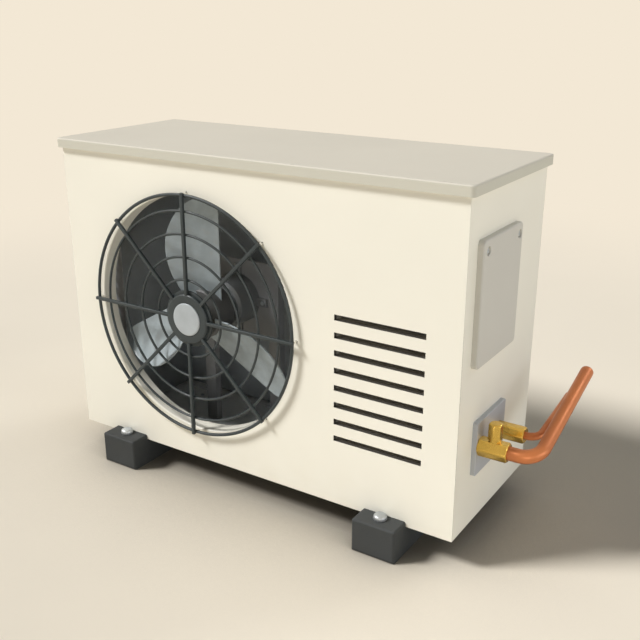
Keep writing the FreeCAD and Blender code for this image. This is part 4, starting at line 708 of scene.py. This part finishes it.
class MakeGuard(bpy.types.Operator):
    """Make the fan guard: round-wire rings, flat spokes with blunt ends, pins and middle plate"""
    bl_idname = "outdoor_unit.make_guard"
    bl_label = "Make Fan Guard"

    def execute(self, context):
        s = sizes()
        shell = Shell()
        level = panel_face - 9 * MM
        angle, turn = circle(192)[:, None], circle(14)[None, :]
        wires = [(s.first_ring + s.ring_step * k, s.wire / 2) for k in range(4)]
        for ring, half in [*wires, (s.outer_ring, s.rim_wire / 2)]:
            reach = ring + half * np.cos(turn)
            points = np.stack([reach * np.sin(angle), half * np.sin(turn) + 0 * angle,
                               reach * np.cos(angle)], -1)
            shell.skin(points + fan_centre + (0, level, 0), loop=True)
        turns = spread(s.spoke_count)
        shell.copies(self.spoke(s), turns)
        shell.copies(self.pin(s), turns)
        rim, back, front = s.disc + 6 * MM, guard_front + 10 * MM, guard_front + 6 * MM
        plate = soft_profile([(4 * MM, back), (rim, back), (rim, front), (4 * MM, front)], 1.2 * MM)
        shell.skin(turned(plate, fan_centre, 1))
        place_piece("guard_wires", shell, "guard_paint", ["fan_guard"])
        return {"FINISHED"}

    def spoke(self, s):
        """A bar whose outline across is a rounded rectangle, |x/a|^5 + |y/b|^5 = 1, drawn in a
        little over the last millimetre at each end."""
        start, end = s.disc - 1.5 * MM, guard_high.z - fan_centre[2]
        half_width, half_depth = s.spoke_width / 2, 3.1 * MM
        into = np.array([0.0, 0.25, 1.0]) * MM
        stations = np.concatenate([start + into, end - into[::-1]])[:, None]
        scale = np.array([0.72, 0.93, 1.0, 1.0, 0.93, 0.72])[:, None]
        c, d = np.cos(circle(24)), np.sin(circle(24))
        x = scale * np.sign(c) * np.abs(c) ** 0.4 * half_width
        y = scale * np.sign(d) * np.abs(d) ** 0.4 * half_depth
        return np.stack([x + fan_centre[0], y + guard_front + 3.2 * MM,
                         stations + fan_centre[2] + 0 * x], -1)

    def pin(self, s):
        """A short round pin from the spoke back to the panel, with a soft foot."""
        front, back, pole = guard_front + 1 * MM, guard_high.y, 0.6 * MM
        profile = soft_profile([(pole, front), (s.leg, front), (s.leg, back), (pole, back)],
                               0.6 * MM, 3)
        return turned(profile, fan_centre + (0, 0, s.leg_circle), 1, 20)


class MakeGuardCentre(bpy.types.Operator):
    """Make the turned disc in the middle of the guard and the pale cap on it"""
    bl_idname = "outdoor_unit.make_guard_centre"
    bl_label = "Make Guard Centre"

    def execute(self, context):
        s = sizes()
        face = guard_front
        disc = soft_profile([
            (5 * MM, face + 6 * MM), (s.disc, face + 6 * MM), (s.disc, face + 1.6 * MM),
            (s.disc - 2.2 * MM, face), (s.cap + 1.0 * MM, face),
            (s.cap + 0.2 * MM, face + 0.6 * MM), (5 * MM, face + 0.6 * MM)], 0.8 * MM)
        cap = soft_profile([
            (4 * MM, face + 0.8 * MM), (s.cap, face + 0.8 * MM), (s.cap, face - 0.9 * MM),
            (s.cap - 2.0 * MM, face - 1.8 * MM), (s.cap * 0.5, face - 2.0 * MM),
            (4 * MM, face - 2.0 * MM)], 1.0 * MM)
        for name, profile, slot, node in (
                ("guard_disc", disc, "guard_paint", "guard_hub"),
                ("guard_centre_cap", cap, "cap_plastic", "guard_cap")):
            shell = Shell()
            shell.skin(turned(profile, fan_centre, 1, 128))
            place_piece(name, shell, slot, [node])
        return {"FINISHED"}


class MakeBlades(bpy.types.Operator):
    """Make the three twisted fan blades as smooth moulded skins on the hub"""
    bl_idname = "outdoor_unit.make_blades"
    bl_label = "Make Fan Blades"

    def execute(self, context):
        points = self.blade(sizes())
        for number, turn in enumerate(spread(3), 1):
            shell = Shell()
            shell.copies(points, [turn])
            place_piece("blade_skin_%d" % number, shell, "blade_plastic",
                        ["fan_blade_%d" % number], "fan", 50)
        return {"FINISHED"}

    def blade(self, s, rows=72, across=40):
        """A blade along +z, in millimetres. Its curved edge lies at -54 + 27 q^2 inside R = 125,
        with q = (125 - R) / 85, and at -54 + 26 q^2 outside it, with q = (R - 125) / 67. The chord
        runs from there to the straight edge at +36. Its depth goes from -1 + 17.5 q^2, with
        q = (R - 100) / 92, to 38, bowed by 5 in a parabola. The corners of the tip are drawn in by
        13 (1 - sqrt(1 - u^2)) over the last 15 percent. The thickness follows a rounded bar, and
        the root lies on the hub: R^2 + t^2 = hub^2."""
        hub, tip, half = s.hub / MM - 0.4, s.blade_end / MM, s.blade_thick / MM / 2
        waist, curved, straight, corner, back, bowed = 125, -54, 36, 13, 38, 5
        share = 1 - (1 - np.linspace(0, 1, rows)[:, None]) ** 1.35
        angle = circle(across * 2)[None, :]
        chord = 0.5 - 0.5 * np.sign(np.cos(angle)) * np.abs(np.cos(angle)) ** 0.8
        side = np.sign(np.sin(angle)) * np.minimum(1, np.abs(np.sin(angle)) * 5.0) ** 0.6
        drawn = np.clip((share - 0.85) / 0.15, 0, 1)
        inset = corner * (1 - np.sqrt(np.clip(1 - drawn ** 2, 0, 1)))
        bow = bowed * 4 * chord * (1 - chord) + side * half
        radius = 40 + (tip - 40) * share + 0 * angle
        # the root's radius follows from the shape and the shape from the radius: four rounds
        # are enough for both to settle
        for _ in range(4):
            inner, outer = (waist - radius) / 85, (radius - waist) / 67
            edge = np.where(radius < waist, 27 * inner ** 2, 26 * outer ** 2) + curved + inset
            near = -1 + 17.5 * ((radius - 100) / 92) ** 2 + inset / 3
            wide, deep = straight - inset / 2 - edge, back - near
            long = np.hypot(wide, deep)
            tangent = edge + wide * chord - deep / long * bow
            depth = near + deep * chord + wide / long * bow
            root = np.sqrt(np.clip(hub ** 2 - tangent ** 2, 400, None))
            radius = root + (tip - root) * share
        return np.stack([tangent, depth, radius], -1) * MM + fan_centre + (0, panel_face, 0)


class MakeFootBolts(bpy.types.Operator):
    """Make the four zinc bolts with rounded heads on the ends of the foot bars"""
    bl_idname = "outdoor_unit.make_foot_bolts"
    bl_label = "Make Foot Bolts"

    def execute(self, context):
        low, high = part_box("foot_bolts")
        seat, top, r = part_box("foot_bar_left")[1].z, high.z, sizes().bolt_head
        shell = Shell()
        profile = soft_profile([
            (1 * MM, seat - 8 * MM), (6 * MM, seat - 8 * MM), (6 * MM, seat), (r - 0.6 * MM, seat),
            (r, seat + 0.6 * MM), (r, top - 4.6 * MM), (r - 1.4 * MM, top - 1.6 * MM),
            (r - 5.0 * MM, top - 0.1 * MM), (1 * MM, top)],
            np.array([0.5, 0.3, 0.3, 0.3, 1.6, 1.4, 2.4]) * MM)
        for x in (low.x + r, high.x - r):
            for y in (low.y + r, high.y - r):
                shell.skin(turned(profile, (x, y, 0), 2, 56))
        place_piece("domed_foot_bolts", shell, "zinc_steel", ["foot_bolts"])
        return {"FINISHED"}


class MakeServiceCover(bpy.types.Operator):
    """Make the soft-edged service cover with two deep screw seats, and the socket screws in them"""
    bl_idname = "outdoor_unit.make_service_cover"
    bl_label = "Make Service Cover"

    def execute(self, context):
        s = sizes()
        low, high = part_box("service_cover")
        screws_low, screws_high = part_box("service_cover_screws")
        half = (screws_high.z - screws_low.z) / 2
        face, hole, r = high.x, s.screw_seat, s.cover_screw
        floor, top, pole = face - 4.2 * MM, face - 1.8 * MM, 0.4 * MM
        slab, seats, screws = Shell(), Shell(), Shell()
        slab.skin(self.slab(s, low, high))
        seat = [(pole, floor), (hole - 0.7 * MM, floor), (hole - 0.2 * MM, face - 0.7 * MM),
                (hole + 0.6 * MM, face), (hole + 0.6 * MM, face + 1 * MM), (pole, face + 1 * MM)]
        screw = soft_profile([
            (pole, top - 3 * MM), (r, top - 3 * MM), (r, top - 0.9 * MM), (r - 1.1 * MM, top),
            (1.7 * MM, top), (1.5 * MM, top - 1.3 * MM), (pole, top - 1.5 * MM)], 0.35 * MM, 4)
        for y in (screws_low.y + half, screws_high.y - half):
            spot = (0, y, (screws_low.z + screws_high.z) / 2)
            seats.skin(turned(seat, spot, 0, 40))
            screws.skin(turned(screw, spot, 0, 40))
        cover = place_piece("soft_service_cover", slab, "beige_paint", ["service_cover"])
        self.cut(context, cover, seats)
        cover.data.name = "soft_service_cover"
        cover.data.shade_smooth()
        cover.data.set_sharp_from_angle(angle=math.radians(30))
        place_piece("socket_screws", screws, "zinc_steel", ["service_cover_screws"])
        return {"FINISHED"}

    def cut(self, context, piece, shell):
        """Takes a shell out of a piece, for good."""
        cutter = add("seat_cutter", shell.mesh("seat_cutter"))
        cut = piece.modifiers.new("screw_seats", "BOOLEAN")
        cut.operation = "DIFFERENCE"
        cut.solver = "EXACT"
        cut.object = cutter
        context.view_layer.update()
        evaluated = piece.evaluated_get(context.evaluated_depsgraph_get())
        result = bpy.data.meshes.new_from_object(evaluated)
        piece.modifiers.clear()
        piece.data = result
        bpy.data.objects.remove(cutter)

    def slab(self, s, low, high):
        """Rings of a rounded rectangle from the panel to the middle of the face. Over the edge a
        ring is drawn in by e (1 - cos a) while it rises by e sin a, with e the edge's radius. A
        ring's corners are arcs of the corner's radius less the inset."""
        e, corner = s.cover_edge, s.cover_corner
        turn = np.linspace(0, math.pi / 2, 9)
        inset = np.concatenate([[0.0], e * (1 - np.cos(turn)), [e + 2 * MM, e + 6 * MM]])[:, None]
        rise = np.concatenate([[low.x], high.x - e + e * np.sin(turn), [high.x, high.x]])[:, None]
        arc = np.linspace(0, math.pi / 2, 12)
        angle = np.concatenate([arc + k * math.pi / 2 for k in range(4)])[None, :]
        left = np.maximum(corner - inset, 0.3 * MM)

        def ring(start, end, sides, swing):
            side = np.repeat(sides, len(arc))[None, :]
            return (start + end) / 2 + side * ((end - start) / 2 - inset - left) + left * swing

        return np.stack([rise + 0 * angle, ring(low.y, high.y, [1, -1, -1, 1], np.cos(angle)),
                         ring(low.z, high.z, [1, 1, -1, -1], np.sin(angle))], -1)


class MakeFittings(bpy.types.Operator):
    """Make the hexagonal brass bodies and nuts of both valves and the cap on the large one"""
    bl_idname = "outdoor_unit.make_fittings"
    bl_label = "Make Valve Fittings"

    def execute(self, context):
        s = sizes()
        for name, radius, low, high, nodes in (
                ("large_fitting", s.gas_hex, gas_low, gas_high,
                 ["gas_valve_body", "gas_flare_nut"]),
                ("small_fitting", s.liquid_hex, liquid_low, liquid_high,
                 ["liquid_valve_body", "liquid_flare_nut"])):
            middle = (0, (low.y + high.y) / 2, (low.z + high.z) / 2)
            flat = radius * math.cos(math.pi / 6)
            start, end, neck = plate_high.x, high.x, 9.4 * MM
            self.bar(name, [
                (start - 6 * MM, neck), (start, neck), (start + 0.02 * MM, flat * 1.02),
                (start + 0.5 * MM, radius), (end - 2.2 * MM, radius), (end - 0.9 * MM, flat * 1.04),
                (end - 0.3 * MM, flat * 0.985), (end, flat * 0.95), (end, flat * 0.86),
                (end - 0.4 * MM, flat * 0.8)], radius, middle, 0, math.pi / 6, nodes)
        middle = ((stem_low.x + stem_high.x) / 2, (stem_low.y + stem_high.y) / 2, 0)
        radius = s.stem_hex
        flat = radius * math.cos(math.pi / 6)
        low, high = stem_low.z - 4 * MM, stem_high.z
        self.bar("valve_stem_cap", [
            (low, radius * 0.8), (low + 3.6 * MM, radius * 0.8), (low + 3.7 * MM, flat * 0.98),
            (low + 4.5 * MM, radius), (high - 3.0 * MM, radius), (high - 1.6 * MM, flat * 1.03),
            (high - 0.6 * MM, flat * 0.93), (high - 0.15 * MM, flat * 0.82), (high, flat * 0.62)],
            radius, middle, 2, 0.0, ["gas_valve_cap"])
        return {"FINISHED"}

    def bar(self, name, stations, radius, middle, axis, lean, nodes):
        shell = Shell()
        shell.skin(hexagonal(stations, radius, middle, axis, lean))
        place_piece(name, shell, "brass", nodes, crease=28)


class MakeStubs(bpy.types.Operator):
    """Make the two bent copper stubs with their closed round ends"""
    bl_idname = "outdoor_unit.make_stubs"
    bl_label = "Make Copper Stubs"

    def execute(self, context):
        s = sizes()
        # run, rise, radius of the bend and rounding of the end in millimetres, lean in degrees
        large, small = (60, 239, 30, 6, 16.5), (36, 150, 19, 3.5, 7.7)
        for name, node, radius, low, high, shape in (
                ("large_copper_stub", "gas_pipe", s.gas_line, gas_low, gas_high, large),
                ("small_copper_stub", "liquid_pipe", s.liquid_line, liquid_low, liquid_high,
                 small)):
            start = (low.x, (low.y + high.y) / 2, (low.z + high.z) / 2)
            run, rise, bend, end = (step * MM for step in shape[:4])
            shell = Shell()
            shell.skin(self.tube(radius, run, rise, bend, end, math.radians(shape[4]), start))
            place_piece(name, shell, "copper", [node])
        return {"FINISHED"}

    def tube(self, radius, run, rise, bend, end, lean, start, around=48):
        """A round section carried along the bent line: line + r (cos a * side + sin a * across),
        where r is the tube's radius, and over the last stretch radius - end + sqrt(end^2 - d^2)
        with d the distance into it."""
        bent_from = run - bend
        bent_to = bent_from + bend * math.pi / 2
        tip = bent_to + rise - bend - end
        into = end * np.sin(np.linspace(0, math.pi / 2, 9))
        distance = np.concatenate([
            np.linspace(0, bent_from, 6), np.linspace(bent_from, bent_to, 28)[1:],
            np.linspace(bent_to, tip, 24)[1:], tip + into[1:]])
        deep = np.clip(distance - tip, 0, end)
        reach = radius - end + np.sqrt(np.clip(end ** 2 - deep ** 2, 0, None))
        line, direction = bent_line(distance, bent_from, bend)
        side = np.stack([-direction[:, 1], direction[:, 0]], -1)
        angle = circle(around)[None, :]
        flat = line[:, None, :] + (reach[:, None] * np.cos(angle))[..., None] * side[:, None, :]
        out = reach[:, None] * np.sin(angle)
        x, y = flat[..., 0], flat[..., 1]
        c, t = math.cos(lean), math.sin(lean)
        return np.stack([x, y * c - out * t, y * t + out * c], -1) + np.asarray(start)


# distant lamps: strength, angle that softens the shadow and height in degrees, the direction that
# the light travels over the floor, and its tint
LAMPS = {
    "key_lamp": (3.27, 14, 44.2, (0.787, 0.617), (1.0, 1.0, 1.0)),
    "back_lamp": (0.54, 20, 35, (-0.5, -0.87), (0.95, 0.98, 1.0)),
    "side_lamp": (1.38, 50, 2.5, (-1.0, 0.04), (0.89, 0.94, 1.0)),
    "front_lamp": (0.39, 24, 7, (-0.45, 0.89), (1.0, 1.0, 1.0)),
}
CAMERA_PLACE = (0.8728, -1.2612, 0.8471)
CAMERA_DOWN, CAMERA_TURN = 19.79, 32.87
CAMERA_LENS, CAMERA_SENSOR = 50, 36
FLOOR_HALF, FLOOR_LEVEL = 14.0, -0.2 * MM
FADE_START, FADE_END = 0.95, 2.6


class MakeStage(bpy.types.Operator):
    """Set the pale floor, the plain lamps, the background and the camera"""
    bl_idname = "outdoor_unit.make_stage"
    bl_label = "Make Stage"

    def execute(self, context):
        c = colours()
        scene = context.scene
        scene.view_settings.view_transform = "Standard"
        half = FLOOR_HALF
        corners = [(-half, -half, 0), (half, -half, 0), (half, half, 0), (-half, half, 0)]
        data = bpy.data.meshes.new("floor")
        data.from_pydata(corners, [], [(0, 1, 2, 3)])
        floor = add("floor", data)
        floor.location.z = FLOOR_LEVEL
        data.materials.append(self.floor_finish(c))
        self.background(scene, c)
        for name, (strength, spread_angle, height, travel, tint) in LAMPS.items():
            lamp = add(name, bpy.data.lights.new(name, "SUN"))
            lamp.data.energy = strength
            lamp.data.color = tint
            lamp.data.angle = math.radians(spread_angle)
            heading = math.atan2(travel[1], travel[0]) - math.pi / 2
            lamp.rotation_euler = (math.radians(90 - height), 0, heading)
        camera = add("camera", bpy.data.cameras.new("camera"))
        camera.data.lens = CAMERA_LENS
        camera.data.sensor_width = CAMERA_SENSOR
        camera.location = CAMERA_PLACE
        camera.rotation_euler = (math.radians(90 - CAMERA_DOWN), 0, math.radians(CAMERA_TURN))
        scene.camera = camera
        return {"FINISHED"}

    def floor_finish(self, c):
        """Matt floor with painted shade in the crevice under and around the unit, darker where
        ambient occlusion finds the unit close, that fades with distance into the backdrop's colour
        for the eye and for reflections, and stays a real floor for light and shadow."""
        skin = Finish("floor_finish", c.floor, 0.9, Specular_IOR_Level=0.1)
        painted_shade_ao = skin.step("ShaderNodeAmbientOcclusion", {"Distance": 0.5}, "AO", samples=16)
        # painted shade: the floor darkens towards 0.22 of its colour where ambient occlusion finds
        # the unit close
        skin.cover(skin.mixed(skin.remap(painted_shade_ao, 0.1, 1.0), opaque(c.floor, 0.22),
                              skin.shade(4, 1.5, 0.985, 1.01)))
        skin.bump(skin.noise(60, 3), 0.02, 0.001)
        far = skin.remap(skin.vector("LENGTH", skin.place), FADE_START, FADE_END)
        seen = skin.any_ray("Is Camera Ray", "Is Glossy Ray", "Is Transmission Ray")
        glow = skin.step("ShaderNodeEmission", {"Color": opaque(c.backdrop)})
        skin.surface(skin.tree.nodes["Material Output"], skin.product(far, seen),
                     skin.shader.outputs[0], glow)
        return skin.material

    def background(self, scene, c):
        """Backdrop colour for the eye and reflections, and a soft even light from all round."""
        scene.world = bpy.data.worlds.new("studio")
        scene.world.use_nodes = True
        world = Nodes(scene.world.node_tree)
        world.tree.nodes.clear()
        soft = world.step("ShaderNodeBackground", {"Color": (1.0, 0.985, 0.95, 1.0),
                                                   "Strength": 0.03})
        shown = world.step("ShaderNodeBackground", {"Color": opaque(c.backdrop)})
        world.surface(world.tree.nodes.new("ShaderNodeOutputWorld"),
                      world.any_ray("Is Camera Ray", "Is Glossy Ray"), soft, shown)


OPERATORS = (DressSheets, MakeGuard, MakeGuardCentre, MakeBlades, MakeFootBolts, MakeServiceCover,
             MakeFittings, MakeStubs, MakeStage)


class OutdoorUnitPanel(bpy.types.Panel):
    """Sidebar list of the unit's pieces, sizes and colours"""
    bl_idname = "VIEW3D_PT_outdoor_unit"
    bl_label = "Outdoor Unit"
    bl_space_type = "VIEW_3D"
    bl_region_type = "UI"
    bl_category = "Outdoor Unit"

    def draw(self, context):
        for operator in OPERATORS:
            self.layout.operator(operator.bl_idname)
        for group in (context.scene.outdoor_unit_sizes, context.scene.outdoor_unit_colours):
            column = self.layout.column(align=True)
            for name in group.__annotations__:
                column.prop(group, name)


CLASSES = (OutdoorUnitSizes, OutdoorUnitColours, *OPERATORS, OutdoorUnitPanel)


def register():
    for item in CLASSES:
        bpy.utils.register_class(item)
    bpy.types.Scene.outdoor_unit_sizes = PointerProperty(type=OutdoorUnitSizes)
    bpy.types.Scene.outdoor_unit_colours = PointerProperty(type=OutdoorUnitColours)


def unregister():
    del bpy.types.Scene.outdoor_unit_colours
    del bpy.types.Scene.outdoor_unit_sizes
    for item in reversed(CLASSES):
        bpy.utils.unregister_class(item)


def main():
    register()
    bpy.ops.outdoor_unit.dress_sheets()
    bpy.ops.outdoor_unit.make_guard()
    bpy.ops.outdoor_unit.make_guard_centre()
    bpy.ops.outdoor_unit.make_blades()
    bpy.ops.outdoor_unit.make_foot_bolts()
    bpy.ops.outdoor_unit.make_service_cover()
    bpy.ops.outdoor_unit.make_fittings()
    bpy.ops.outdoor_unit.make_stubs()
    bpy.ops.outdoor_unit.make_stage()


if __name__ == "__main__":
    main()
